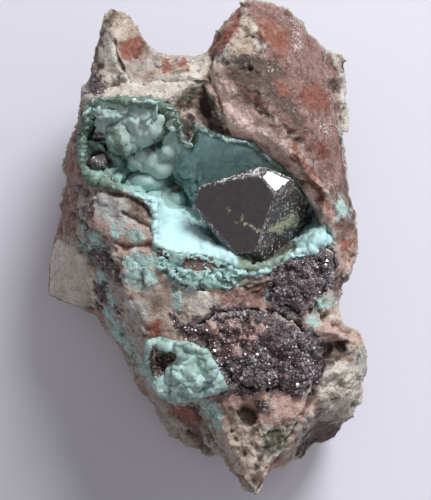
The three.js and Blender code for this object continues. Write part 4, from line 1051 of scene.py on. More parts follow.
def druse_material():
    """Fine cuprite druse: purple-black with painted glints, rust brown where it is thin, and
    painted shade in its hollows.
    """
    look = bpy.context.scene.rock_settings
    paint = Paint("druse_ground")
    patch = paint.grain(1.6, 4, 0.7)
    speck = paint.grain(0.6, 3, 0.75, shift=0.011)
    fine = paint.grain(0.3, 3, 0.7)
    rust = paint.ragged(patch, 2.0, paint.stored("rust"))
    base = paint.blend(paint.step(speck, 0.4, 0.6), darker(look.druse, 0.35), tuple(look.druse))
    base = paint.blend(paint.step(rust, 0.4, 0.8), base,
                       paint.blend(paint.step(speck, 0.35, 0.65), DARK_RUST, PALE_RUST))
    # painted glints
    base = paint.blend(paint.step(fine, 0.56, 0.72, 0, 0.7), base, DRUSE_GLINT)
    green = paint.grain(1.1, 4, 0.75, shift=0.09)
    base = paint.blend(paint.step(green, 0.60, 0.70, 0, 0.8), base, darker(look.turquoise, 0.7))
    # painted shade in the hollows
    base = paint.shade(base, paint.step(paint.stored("hollow"), 0.0, 0.8, 0, 0.9), DRUSE_SHADE)
    height = paint.raised(paint.cells(0.5), -0.8, speck)
    return paint.finish(base, paint.step(fine, 0.3, 0.7, 0.25, 0.6), height, relief=0.3,
                        IOR=1.9)


def chrysocolla_material():
    """Waxy, powdery chrysocolla with painted light and shade: painted pale and lit on what stands
    proud, and painted grey-green and shaded, deepening to green, in what doesn't.
    """
    look = bpy.context.scene.chrysocolla_settings
    paint = Paint("waxy_chrysocolla")
    cloud = paint.grain(3.2, 4, 0.6)
    fine = paint.grain(0.6, 4, 0.65)
    # painted light: the pale mark and a random cloud choose between the lit pale crust and its
    # shaded grey-green copy
    lit = paint.ragged(cloud, 0.8, paint.stored("pale"))
    pale = paint.blend(paint.stored("chalk"), tuple(look.pale), tuple(look.chalk))
    base = paint.blend(paint.step(lit, 0.2, 0.8), tuple(look.shaded), pale)
    base = paint.blend(paint.step(fine, 0.3, 0.7, 0, 0.22), base, darker(look.shaded, 0.8))
    olive = paint.raised(fine, 0.6, paint.stored("olive"))
    base = paint.blend(paint.step(olive, 0.1, 0.6, 0, 0.85), base,
                       paint.blend(paint.step(cloud, 0.4, 0.6), DARK_OLIVE, PALE_OLIVE))
    # painted shade: the hollows take the crevice green
    hollow = paint.stored("hollow")
    base = paint.blend(paint.step(hollow, 0.1, 0.9, 0, 0.85), base, tuple(look.deep))
    edge = paint.ragged(paint.grain(0.9, 4, 0.7, shift=0.02), 1.6, paint.stored("rim"))
    base = paint.blend(paint.step(edge, 0.3, 0.7, 0, 0.9), base, tuple(look.rim))
    # the stain's brown: a real stain in the cups and pits, and a painted shadow under the large
    # crystal
    stain = paint.ragged(paint.grain(0.8, 4, 0.7, shift=0.05), 1.6, paint.stored("stain"))
    base = paint.blend(paint.step(stain, 0.35, 0.65), base, CUP_STAIN_AND_SHADOW)
    height = paint.raised(paint.grain(0.35, 3, 0.6), 0.5, fine)
    return paint.finish(base, 0.62, height, relief=0.16, strength=0.7)


def cuprite_material():
    """Dark submetallic cuprite with etched edges, growth marks and an olive film, and painted
    glints on its etched bands, worn edges and rough faces.
    """
    look = bpy.context.scene.cuprite_settings
    paint = Paint("submetallic_cuprite")
    rough_face = paint.stored("rough_face")
    fine = paint.grain(0.35, 4, 0.7)
    marks = paint.grain(1.1, 5, 0.75, 1.2, shift=0.07)
    streaks = paint.streaks((0.18, 0.7, 0.6), 0.5)
    glint = paint.step(paint.product(streaks, paint.step(marks, 0.3, 0.6)), 0.36, 0.44)
    # painted glints along the etched bands and lines, and along worn edges
    etched = paint.product(paint.step(paint.stored("etched"), -0.15, 0.25), glint)
    worn = paint.product(paint.step(paint.stored("edge"), 0.45, 0.05),
                         paint.step(marks, 0.45, 0.6))
    # painted glints: bright dots on the rough faces
    dots = paint.product(paint.step(paint.cells(0.42), 0.5, 0.3),
                         paint.step(paint.chances(0.42)[0], 0.66, 0.7))
    bright = paint.product(paint.product(rough_face, dots), paint.step(marks, 0.38, 0.5))
    base = paint.blend(paint.step(marks, 0.35, 0.7), darker(look.face, 0.6),
                       darker(look.face, 2.0))
    base = paint.blend(paint.product(rough_face, 0.7), base,
                       paint.blend(paint.step(marks, 0.35, 0.65), ROUGH_FACE_DARK,
                                   ROUGH_FACE_PALE))
    base = paint.blend(paint.step(paint.stored("grey_corner"), -0.1, 0.1, 0, 0.8), base,
                       CORNER_GREY)
    base = paint.blend(paint.product(worn, 0.8), base, WORN_EDGE_GLINT)
    base = paint.blend(bright, base, GLINT_DOT)
    base = paint.blend(etched, base, ETCH_GLINT)
    holes = paint.grain(0.7, 5, 0.75, 0.8, shift=0.23)
    coat = paint.step(paint.ragged(holes, 7.0, paint.stored("film"), 0.53), 0.0, 0.3)
    base = paint.blend(coat, base, paint.blend(paint.step(fine, 0.4, 0.6), tuple(look.film),
                                               darker(look.film, 1.7)))
    rough = paint.between(coat, paint.between(rough_face, 0.12, 0.34), 0.75)
    height = paint.product(paint.raised(fine, 0.5, marks), paint.step(rough_face, 0, 1, 0.06, 1.0))
    return paint.finish(base, rough, height, relief=0.30, strength=0.8, IOR=2.0)


def grain_material():
    """Faces of the small druse crystals, dark and brown, some painted bright grey as glints."""
    look = bpy.context.scene.cuprite_settings
    paint = Paint("grain_faces")
    share, bright = paint.chances(1.3)[:2]
    base = paint.blend(share, darker(look.face, 2), GRAIN_BROWN)
    base = paint.blend(paint.step(bright, 0.7, 0.78), base, GRAIN_GLINT)
    return paint.finish(base, 0.33, IOR=2.5)


def floor_material():
    """Pale matt paper with a faint grain, with painted shade towards its left and a painted shadow
    in its lower left corner.
    """
    look = bpy.context.scene.stage_settings
    paint = Paint("floor_paper")
    across, along = paint.add("ShaderNodeSeparateXYZ", {0: paint.place}).outputs[:2]
    # painted shade: the paper a little darker towards its left
    base = paint.blend(paint.step(across, 0.03, -0.07), tuple(look.floor),
                       darker(look.floor, 0.91))
    # painted shadow: the paper darker still in its lower left corner
    corner = paint.product(paint.step(across, 0.03, -0.05), paint.step(along, 0.0, -0.06))
    base = paint.blend(corner, base, darker(look.floor, 0.6))
    return paint.finish(base, 0.9, paint.grain(0.6, 3, 0.6), relief=0.02, strength=0.3)


def shared_material(name, maker):
    """A material that several pieces use, made once."""
    return bpy.data.materials.get(name) or maker()


# ------------------------------------------------------------------ shaping the pieces

def zone_depths(points, facing):
    """Each zone's depth at each point, and none where the surface doesn't face front."""
    places = wandering(points, 3.0, (0.5 + 1.6 * (1 - facing))[:, None], 400)
    depths = {}
    for zone, outlines in ZONES.items():
        depth = np.max([outline_depth(places, outline) for outline in outlines], axis=0)
        depths[zone] = depth * facing - REACH * (1 - facing)
    return depths


def weather(skin, hidden):
    """Gives the rock its broken relief, cracks, pits and rises, and leaves what is hidden."""
    look = bpy.context.scene.rock_settings
    relief = look.relief / MM
    chip = look.chip_size / MM
    normals = skin.normals()
    facing = ease_between(skin.spread(normals[:, 2].copy(), 12), *FRONT)
    points = skin.points.copy()
    depths = zone_depths(points, facing)
    calm = ease_between(np.maximum.reduce([depths["slab"], depths["pink"], depths["umber"]]),
                        -0.3, 1.2) * 0.65
    places = wandering(points, 2.0, 0.35, 500)
    even = np.max([outline_depth(places, outline) for outline in SMOOTH_ROCK], axis=0)
    calm = np.maximum(calm, ease_between(even, -0.6, 0.8) * 0.85)
    gritty = ease_between(depths["druse"], -0.4, 0.8)
    moved = bent(points, 0.4, 3, 5)
    height = chips(moved, chip, 11) * 1.6 + chips(moved, chip * 0.45, 12) * 1.1
    height += rumple(points, 3.4, 21, 2) * 0.7
    height += (ridges(points, 2.4, 31) - 0.5) * 0.9
    height *= 1 - calm
    height += chips(moved, chip * 0.2, 13) * 0.6 * (1 - 0.6 * calm)
    height += rumple(points, 1.1, 41, 3) * 0.4
    height += (ridges(points, 0.9, 42) - 0.5) * 0.3
    height += gritty * (domes(points, 1.5, 51) * 0.9 + domes(points, 0.8, 52) * 0.6 - 0.9)
    height *= relief * (0.4 + 0.6 * facing)
    broken = chips(moved, 8.0, 14) + 0.4 * chips(moved, 3.6, 15)
    height += (1 - facing) * (broken * 0.6 - 0.3).clip(-0.8, 0.1)
    for line, width, depth in CRACKS:
        height -= depth * facing * (1 - ease_between(line_gap(places, line), 0.05, width))
    for x, y, radius, depth in ROCK_PITS:
        away = np.hypot(places[:, 0] - x, places[:, 1] - y)
        height -= depth * facing * (1 - ease_between(away, radius * 0.3, radius))
    open_share = 1 - skin.spread(hidden, 3)
    skin.points = points + normals * (height * open_share)[:, None]
    for x, y, radius, rise in ROCK_SWELLS:
        away = np.hypot(places[:, 0] - x, places[:, 1] - y)
        skin.points[:, 2] += rise * facing * open_share * (1 - ease_between(away, 0, radius))
    skin.points[:, 2] = np.maximum(skin.points[:, 2], 0)
    skin.write()


def mark_zones(skin):
    """Stores what the rock's material reads."""
    facing = ease_between(skin.spread(skin.normals()[:, 2], 10), *FRONT)
    skin.mark(**zone_depths(skin.points, facing), hollow=skin.hollow(14, 0.42))
    skin.write()


def thinned(mesh, share):
    """A mesh with a share of its triangles, fewest where it is flat."""
    carrier = carried(mesh)
    fewer = carrier.modifiers.new("fewer", "DECIMATE")
    fewer.ratio = share
    return settled(carrier)


def vug_height(places, floor):
    """Height of the crust in the vug at places, given the height of the rock's own surface."""
    rim = np.array(VUG_RIM)
    level = np.array([floor(place) for place in rim + outward(rim) * 0.5])
    knots = np.vstack([np.column_stack([rim, level]), VUG_RELIEF])
    gaps = np.linalg.norm(knots[:, None, :2] - knots[None, :, :2], axis=2)
    pull = np.linalg.solve(gaps, knots[:, 2] - VUG_LEVEL)
    away = np.linalg.norm(places[:, None] - knots[None, :, :2], axis=2)
    height = VUG_LEVEL + away @ pull
    for x, y, wide, tall, top, foot in VUG_LUMPS:
        away = np.hypot((places[:, 0] - x) / wide, (places[:, 1] - y) / tall)
        dome = foot + (top - foot) * np.sqrt((1 - away ** 2).clip(0, 1))
        height = np.where(away < 1, np.maximum(height, dome), height)
    return height


def outward(outline):
    """Unit directions out of a clockwise outline at its corners."""
    along = np.roll(outline, -1, 0) - np.roll(outline, 1, 0)
    out = np.column_stack([-along[:, 1], along[:, 0]])
    return out / np.linalg.norm(out, axis=1)[:, None]


def crust_over(ground, outline, step, height=None, over=None):
    """A thin closed crust over the ground inside an outline, in squares about step wide, and how
    deep inside the outline each vertex lies. A height function takes the crust down into a
    hollow instead, and below what stands over it."""
    corners = np.array(outline, float)
    low, high = corners.min(0) - 1, corners.max(0) + 1
    across, along = (np.arange(low[i], high[i] + step, step) for i in (0, 1))
    grid = np.stack(np.meshgrid(across, along, indexing="ij"), 2).reshape(-1, 2)
    depth = outline_depth(grid, outline)
    kept = depth > -CRUST_MARGIN
    index = np.cumsum(kept) - 1
    wide, tall = len(across), len(along)

    def level(place):
        return drop(ground, place)[2]

    places, depth = grid[kept], depth[kept]
    own = np.array([level(place) for place in places])
    if height is not None:
        inside = ease_between(depth, -0.1, 0.7)
        own = np.maximum(own * (1 - inside) + height(places, level) * inside, own + CRUST_PROUD)
        for i, place in enumerate(places):
            spot = under_eye(over, place) if place[0] > UNCOVERED else None
            if spot is not None:
                own[i] = min(own[i], spot[2] - CRYSTAL_GAP)
    shrink = (EYE_RISE + DRAWING_HEIGHT - own) / EYE_RISE
    flat = EYE_OVER + (places - EYE_OVER) * shrink[:, None]
    top = np.column_stack([flat, own])
    count = len(top)
    corner = np.arange(wide * tall).reshape(wide, tall)
    squares = np.stack([corner[:-1, :-1], corner[1:, :-1], corner[1:, 1:], corner[:-1, 1:]],
                       2).reshape(-1, 4)
    squares = index[squares[kept[squares].all(1)]]
    if height is None:
        squares = squares[np.ptp(own[squares], axis=1) < STEEPEST * step]
    used = np.zeros(count, bool)
    used[squares.ravel()] = True
    sides = {}
    for square in squares.tolist():
        for a, b in zip(square, square[1:] + square[:1]):
            if sides.pop((b, a), None) is None:
                sides[(a, b)] = True
    faces = squares.tolist() + [[i + count for i in reversed(f)] for f in squares.tolist()]
    faces += [[b, a, a + count, b + count] for a, b in sides]
    mesh = bpy.data.meshes.new("crust")
    under = top - (0, 0, CRUST_THICKNESS)
    mesh.from_pydata((np.vstack([top, under]) * MM).tolist(), [], faces)
    mesh.update()
    skin = Skin(mesh)
    skin.top = np.concatenate([used, np.zeros(count, bool)])
    return skin, np.concatenate([depth, depth])


class SPECIMEN_OT_host_rock(bpy.types.Operator):
    """The broken, iron-stained rock that carries everything."""
    bl_idname = "specimen.host_rock"
    bl_label = "Host rock"

    def execute(self, context):
        look = context.scene.rock_settings
        skin = Skin(evened(look.mesh_step, "matrix", "cuprite_druse_lower", "cuprite_druse_right",
                           "chrysocolla_crust", "chrysocolla_knob"))
        skin.smooth(4)
        hidden = buried(skin.points, skin.normals(), ("vug_lining", "cuprite_crystal"), 1.2)
        weather(skin, hidden)
        triangles = sum(len(face.vertices) - 2 for face in skin.mesh.polygons)
        skin = Skin(thinned(skin.mesh, min(1, TRIANGLES / triangles)))
        mark_zones(skin)
        piece("host_rock", skin.mesh, shared_material("stained_rock", rock_material), "host_rock",
              "matrix")
        return {"FINISHED"}


class SPECIMEN_OT_druse_crusts(bpy.types.Operator):
    """Knobbly crusts of fine cuprite below and right of the vug."""
    bl_idname = "specimen.druse_crusts"
    bl_label = "Druse crusts"

    def execute(self, context):
        ground = surface_tree("host_rock")
        for node, outline in DRUSE_OUTLINES.items():
            skin, depth = crust_over(ground, outline, DRUSE_STEP)
            points = skin.points.copy()
            moved = bent(points, 0.4, 2, 131)
            rusty = ease_between(outline_depth(wandering(points, 2.5, 0.8, 900), RUST), -0.8, 0.8)
            height = 0.35 * ease_between(depth, -0.3, 1.0) - 0.75
            lumps = 0.55 * domes(moved, 1.9, 134) + 0.3 * domes(moved, 0.8, 135)
            height += lumps * (1 - 0.6 * rusty)
            height += 0.7 * rumple(points, 3.6, 136, 2) + 0.15 * rumple(points, 0.6, 138, 2)
            height -= 0.7 * ease_between(ridges(moved, 3.2, 139), 0.72, 0.95)
            skin.raise_top(height)
            bare = 1.4 * rusty if node == "cuprite_druse_lower" else 0.3
            skin.mark(
                druse=(np.minimum(depth, 2.4 * (1 - rusty)) - bare
                       + 0.5 * rumple(points, 2.2, 140, 2)),
                rust=1.1 * rusty + 0.35 * rumple(points, 4, 137, 2),
                hollow=skin.hollow(6, 0.35) * (1 - 0.6 * rusty))
            skin.write()
            piece(node + "_ground", skin.mesh, shared_material("druse_ground", druse_material),
                  "cuprite_druse", node)
        return {"FINISHED"}


class SPECIMEN_OT_druse_grains(bpy.types.Operator):
    """Small cuprite octahedra scattered over the druse."""
    bl_idname = "specimen.druse_grains"
    bl_label = "Druse grains"

    def execute(self, context):
        look = context.scene.cuprite_settings
        material = shared_material("grain_faces", grain_material)
        tree = grain_tree(material)
        for name, ground, seed in (("rock_grains", "host_rock", 0),
                                   ("lower_grains", "cuprite_druse_lower_ground", 1),
                                   ("right_grains", "cuprite_druse_right_ground", 2)):
            carrier = carried(bpy.data.objects[ground].data.copy())
            grow(carrier, tree, {"Spacing": look.grain_spacing, "Smallest": look.grain_small,
                                 "Largest": look.grain_large, "Seed": look.seed + seed})
            piece(name, settled(carrier), material, "cuprite_druse", smooth=False)
        return {"FINISHED"}


class SPECIMEN_OT_vug_lining(bpy.types.Operator):
    """The crust of chrysocolla inside the vug, with its domes and crumpled sheets."""
    bl_idname = "specimen.vug_lining"
    bl_label = "Vug lining"

    def execute(self, context):
        look = context.scene.chrysocolla_settings
        ground = surface_tree("host_rock")
        skin, depth = crust_over(ground, VUG_RIM, look.mesh_step / MM, vug_height,
                                 solid_tree("cuprite_crystal"))
        skin.even_walls()
        points = skin.points.copy()
        places = wandering(points, 2.0, 0.4, 600)
        crumpled = ease_between(outline_depth(places, CRUMPLED), -0.6, 0.8)
        wall = ease_between(outline_depth(places, SMOOTH_WALL), -0.5, 1.0)
        lump = ease_between(outline_depth(places, SMOOTH_LUMP), -0.3, 0.8)
        upper = ease_between(outline_depth(places, UPPER_WALL), -0.5, 1.0)
        ball = ease_between(np.hypot(places[:, 0] - BALL[0], places[:, 1] - BALL[1]), 2.2, 1.6)
        quiet = np.maximum.reduce([wall, lump, upper * 0.7, ball])
        granular = ease_between(outline_depth(places, GRANULAR), -0.5, 0.5)
        quiet *= 1 - granular
        moved = bent(points, 0.5, 2.5, 61)
        size, tall = look.dome_size / MM, look.dome_height / MM
        height = (domes(moved, size, 71) - 0.7) * 1.7 * (1 - 0.93 * quiet) * (1 - 0.5 * crumpled)
        height += (domes(moved, size * 0.5, 72) - 0.6) * (1 + granular) * (1 - 0.9 * quiet)
        height += (domes(moved, size * 0.26, 73) - 0.6) * 0.6 * (1 - 0.85 * quiet)
        height += crumpled * (billows(moved, 2.0, 65, 5) * 1.9 - 0.7)
        height *= tall
        ragged = places + 0.3 * np.stack([rumple(points, 0.9, s) for s in (77, 78)], 1)
        for line, wide, high in VUG_FOLDS:
            height += high * (1 - line_gap(ragged, line) / wide).clip(0, 1)
        for line, reach, high in VUG_SHEETS:
            height += high * torn_sheet(ragged, line, reach)
        height += rumple(points, 1.4, 75, 3) * (0.12 + 0.25 * crumpled)
        lip = 1 - ease_between(depth, 0.1, 0.9)
        height += lip * (0.2 + 0.35 * rumple(points, 1.6, 76, 3))
        for x, y, radius in SMALL_CRYSTAL_CUPS:
            away = np.linalg.norm(places - np.array((x, y)), axis=1)
            height -= 1.6 * (1 - ease_between(away, radius * 0.6, radius))
        height -= 0.8 * (1 - ease_between(depth, -0.6, -0.15))
        skin.raise_top(height)
        upper_side = ease_between(points[:, 1] - 9 + points[:, 0] * 0.1, -1, 3)
        # the lower left of the left lobe, painted darker and green as painted shade
        left = ease_between(-12.5 - points[:, 0], 0, 2) * ease_between(20 - points[:, 1], -1, 1)
        edge = (1 - ease_between(depth, 0.1, 0.5)) * (0.15 + 0.6 * np.maximum(upper_side, left))
        edge = np.maximum(edge, left * (0.35 + 0.5 * rumple(points, 2, 79, 2)))
        for line in GREEN_EDGES:
            edge = np.maximum(edge, 0.75 * (1 - ease_between(line_gap(places, line), 0.1, 0.5)))
        # painted shadow under the large crystal, in the rim's dark green and the stain's brown
        foot = outline_depth(places, SHADOW_UNDER_CRYSTAL)
        edge = np.maximum(edge, ease_between(foot, -0.4, 0.4) * 0.8)
        high = ease_between(points[:, 2], 19, 26)
        middle = ease_between(points[:, 1], 10.5, 13) * ease_between(-3 - points[:, 0], 0, 2)
        cups = np.max([1 - np.linalg.norm(places - np.array((x, y)), axis=1) / radius
                       for x, y, radius in SMALL_CRYSTAL_CUPS], axis=0)
        # pale mark: painted light and shade, paler on the lit wall, on higher parts and on the
        # crumpled sheets, darker on the shaded lower left and on the ball; hollow mark: painted
        # shade in hollows and low in the vug
        skin.mark(
            rim=edge,
            pale=(0.3 + 0.8 * wall - 0.1 * lump + 0.7 * crumpled * high + 0.15 * high
                  - 1.1 * left - 0.4 * ball + 0.3 * height.clip(-1, 1)),
            chalk=np.maximum.reduce([crumpled, lump * 0.8, middle, ball]),
            stain=np.maximum(ease_between(cups, 0, 0.35) * 0.9,
                             ease_between(foot, -0.3, 0.6) * 0.55),
            olive=outline_depth(places, OLIVE_GRAINS),
            hollow=(skin.hollow(8, 0.4) * (1 - 0.35 * crumpled)
                    + 0.6 * ease_between(points[:, 2], 21.5, 18.5)))
        skin.write()
        piece("vug_crust", skin.mesh, shared_material("waxy_chrysocolla", chrysocolla_material),
              "chrysocolla", "vug_lining")
        return {"FINISHED"}


class SPECIMEN_OT_crust_net(bpy.types.Operator):
    """Chrysocolla under the vug: pale rims round dark pits."""
    bl_idname = "specimen.crust_net"
    bl_label = "Crust net"

    def execute(self, context):
        ground = surface_tree("host_rock", "vug_crust")
        skin, depth = crust_over(ground, NET_OUTLINE, NET_STEP)
        points = skin.points.copy()
        moved = bent(points, 0.35, 1.4, 81, 2)
        wall = ease_between(ridges(moved * (0.6, 1.3, 1), 2.2, 84, 2), 0.66, 0.9)
        hollows = np.max([outline_depth(wandering(points, 1.2, 0.4, 700), outline)
                          for outline in NET_HOLLOWS], axis=0)
        pit = ease_between(hollows, -0.4, 0.4)
        height = 0.95 * wall * (1 - 0.4 * pit) + rumple(points, 1.2, 85, 3) * 0.2 - 0.1 * pit
        height = np.maximum(height + 0.2, 0.12) * ease_between(depth, -0.4, 0.4) - 0.1
        skin.raise_top(height)
        skin.mark(
            pale=0.2 + 1.1 * wall + 0.3 * rumple(points, 2.0, 87),
            chalk=np.zeros(len(points)),
            rim=0.15 * (1 - wall) + 0.2 * rumple(points, 2.4, 88, 2),
            stain=(0.9 * pit * (1.1 - 0.8 * wall) + 0.35 * rumple(points, 1.6, 86, 3)
                   - 0.3 * wall),
            hollow=skin.hollow(6, 0.35) + 0.5 * (1 - wall))
        skin.write()
        piece("crust_net", skin.mesh, shared_material("waxy_chrysocolla", chrysocolla_material),
              "chrysocolla", "chrysocolla_crust")
        return {"FINISHED"}


class SPECIMEN_OT_knob(bpy.types.Operator):
    """The lumpy chrysocolla knob below the vug, with its brown hollow."""
    bl_idname = "specimen.knob"
    bl_label = "Chrysocolla knob"

    def execute(self, context):
        ground = surface_tree("host_rock")
        skin, depth = crust_over(ground, KNOB_OUTLINE, KNOB_STEP)
        points = skin.points.copy()
        moved = bent(points, 0.6, 2.5, 91)
        height = (ridges(moved, 3.0, 94) - 0.5) * 0.9 + (domes(moved, 1.4, 95) - 0.5) * 0.2
        height += rumple(points, 1.2, 96, 3) * 0.25 + (ridges(moved, 0.8, 99, 2) - 0.5) * 0.2
        pit = ease_between(outline_depth(wandering(points, 2.0, 0.5, 700), KNOB_HOLLOW), -0.2, 0.6)
        height = (height + 0.5) * (1 - pit)
        height = np.maximum(height, 0.12) * ease_between(depth, -0.4, 0.6) - 0.1
        skin.raise_top(height)
        # pale mark: the higher parts painted paler as painted highlight
        skin.mark(
            pale=0.45 + 1.4 * rumple(points, 2.0, 97, 3) + 0.3 * (height - 0.2),
            chalk=np.full(len(points), 0.3),
            rim=0.6 * rumple(points, 1.6, 100, 3),
            stain=1.3 * pit - 0.1 + 0.25 * rumple(points, 2.5, 98),
            hollow=skin.hollow(6, 0.35))
        skin.write()
        piece("chrysocolla_lump", skin.mesh,
              shared_material("waxy_chrysocolla", chrysocolla_material),
              "chrysocolla", "chrysocolla_knob")
        return {"FINISHED"}


class SPECIMEN_OT_rim_crust(bpy.types.Operator):
    """The crinkled dark green edge of the crust along the vug's upper rims."""
    bl_idname = "specimen.rim_crust"
    bl_label = "Rim crust"

    def execute(self, context):
        look = context.scene.chrysocolla_settings
        ground = surface_tree("host_rock", "vug_crust")
        shape = bmesh.new()
        for first, last in RIM_ROLLS:
            line = [VUG_RIM[i] for i in range(first, last)]
            previous = None
            for a, b in zip(line, line[1:]):
                for part in np.linspace(0, 1, PATH_STEPS, endpoint=False):
                    place = np.array(a) + (np.array(b) - np.array(a)) * part
                    shift = [swell(np.array([[*place, s]]), 1.1, 113)[0] for s in (0, 50)]
                    spot = drop(ground, place + np.array(shift) * 0.7)
                    spot[2] += 0.3 * swell(np.array([[*place, 90]]), 1.6, 117)[0]
                    vertex = shape.verts.new(spot * MM)
                    if previous:
                        shape.edges.new((previous, vertex))
                    previous = vertex
        mesh = bpy.data.meshes.new("rim_path")
        shape.to_mesh(mesh)
        shape.free()
        carrier = carried(mesh)
        material = shared_material("waxy_chrysocolla", chrysocolla_material)
        grow(carrier, rim_tree(material), {"Width": look.rim_width})
        skin = Skin(settled(carrier))
        points = skin.points.copy()
        crinkle = (ridges(points, 1.1, 114, 3) - 0.5) * 0.22 + swell(points, 2.1, 116) * 0.4
        skin.points = points + skin.normals() * crinkle[:, None]
        none = np.zeros(len(points))
        # painted highlight: the crinkle's crests are paler and less dark green
        skin.mark(
            rim=0.4 + 1.6 * rumple(points, 1.8, 111, 3) - crinkle,
            pale=0.7 + 0.6 * swell(points, 1.6, 112) + crinkle,
            stain=none, chalk=none, hollow=skin.hollow(4, 0.3))
        piece("rim_crust", skin.mesh, material, "chrysocolla")
        return {"FINISHED"}


class SPECIMEN_OT_cuprite_crystal(bpy.types.Operator):
    """The large cuprite octahedron with its worn edges and growth steps."""
    bl_idname = "specimen.cuprite_crystal"
    bl_label = "Cuprite crystal"

    def execute(self, context):
        look = context.scene.cuprite_settings
        material = shared_material("submetallic_cuprite", cuprite_material)
        mesh = cut_crystal("cuprite_crystal", look.edge_round, cuts=60)
        finish_crystal(mesh, look, step_share=1.0)
        piece("cuprite_octahedron", mesh, material, "cuprite", "cuprite_crystal")
        return {"FINISHED"}


class SPECIMEN_OT_small_cuprites(bpy.types.Operator):
    """Two small cuprite crystals set in the crust at the left of the vug."""
    bl_idname = "specimen.small_cuprites"
    bl_label = "Small cuprites"

    def execute(self, context):
        look = context.scene.cuprite_settings
        material = shared_material("submetallic_cuprite", cuprite_material)
        for node in ("small_cuprite_upper", "small_cuprite_lower"):
            mesh = cut_crystal(node, look.edge_round * 1.6, cuts=16)
            finish_crystal(mesh, look, step_share=0.8)
            piece(node + "_crystal", mesh, material, "cuprite", node)
        return {"FINISHED"}


class SPECIMEN_OT_stage(bpy.types.Operator):
    """Floor, soft light and camera."""
    bl_idname = "specimen.stage"
    bl_label = "Stage"

    def execute(self, context):
        scene = context.scene
        look = scene.stage_settings
        plane = bmesh.new()
        bmesh.ops.create_grid(plane, x_segments=2, y_segments=2, size=FLOOR_WIDTH / 2)
        mesh = bpy.data.meshes.new("floor")
        plane.to_mesh(mesh)
        plane.free()
        mesh.materials.append(floor_material())
        floor = bpy.data.objects.new("floor", mesh)
        scene.collection.objects.link(floor)

        soft_light(scene, "window_light", *WINDOW, look.key_power)
        soft_light(scene, "low_window", *LOW_WINDOW, look.low_power)

        world = bpy.data.worlds.new("ambient")
        world.use_nodes = True
        back = world.node_tree.nodes["Background"]
        back.inputs["Color"].default_value = AMBIENT_TINT
        back.inputs["Strength"].default_value = look.ambient
        scene.world = world
        scene.view_settings.view_transform = "Standard"

        lens = bpy.data.cameras.new("front_view")
        lens.sensor_fit = "VERTICAL"
        lens.sensor_height = SENSOR
        lens.lens = SENSOR * EYE_RISE / VIEW_HEIGHT
        lens.clip_end = 10
        camera = bpy.data.objects.new("front_view", lens)
        camera.location = (EYE_OVER[0] * MM, EYE_OVER[1] * MM, (DRAWING_HEIGHT + EYE_RISE) * MM)
        scene.collection.objects.link(camera)
        scene.camera = camera
        return {"FINISHED"}


def soft_light(scene, name, toward, away, width, power):
    """A round soft light in one direction from the crystal, its distance and width in metres."""
    lamp = bpy.data.lights.new(name, "AREA")
    lamp.shape = "DISK"
    lamp.size = width
    lamp.energy = power
    holder = bpy.data.objects.new(name, lamp)
    scene.collection.objects.link(holder)
    toward = Vector(toward).normalized()
    holder.location = Vector(LIT_PLACE) + toward * away
    holder.rotation_euler = toward.to_track_quat("Z", "Y").to_euler()


def surface_tree(*names):
    """The finished surfaces of some pieces, to set other things down on."""
    corners, faces = [], []
    for name in names:
        mesh = bpy.data.objects[name].data
        start = len(corners)
        corners += [v.co / MM for v in mesh.vertices]
        faces += [[i + start for i in p.vertices] for p in mesh.polygons]
    return BVHTree.FromPolygons(corners, faces)


def under_eye(ground, place):
    """The point of a surface under a place on the drawing plane, if there is one."""
    eye = Vector((*EYE_OVER, DRAWING_HEIGHT + EYE_RISE))
    return ground.ray_cast(eye, (Vector((*place, DRAWING_HEIGHT)) - eye).normalized())[0]


def drop(ground, place):
    """The point of a surface under a place on the drawing plane."""
    spot = under_eye(ground, place)
    if spot is None:
        raise RuntimeError(f"nothing of the specimen lies under {place}")
    return spot


def cut_crystal(node, edge_round, cuts, rounds=6):
    """A crystal's solid with worn edges, cut fine enough to carry growth steps: its longest
    edge into this many parts, in no more rounds than this."""
    shape = bmesh.new()
    shape.from_mesh(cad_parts[node].data)
    bmesh.ops.remove_doubles(shape, verts=shape.verts, dist=WELD)
    bmesh.ops.dissolve_limit(shape, angle_limit=math.radians(1), verts=shape.verts,
                             edges=shape.edges)
    bmesh.ops.bevel(shape, geom=shape.edges[:] + shape.verts[:], offset=edge_round / 2,
                    segments=1, affect="EDGES", profile=0.5)
    bmesh.ops.triangulate(shape, faces=shape.faces)
    longest = max(edge.calc_length() for edge in shape.edges)
    step = longest / cuts
    for _ in range(rounds):
        long_edges = [edge for edge in shape.edges if edge.calc_length() > step]
        if not long_edges:
            break
        bmesh.ops.subdivide_edges(shape, edges=long_edges, cuts=1)
        bmesh.ops.triangulate(shape, faces=[f for f in shape.faces if len(f.verts) > 3])
    mesh = bpy.data.meshes.new(node)
    shape.to_mesh(mesh)
    shape.free()
    mesh.materials.clear()
    return mesh


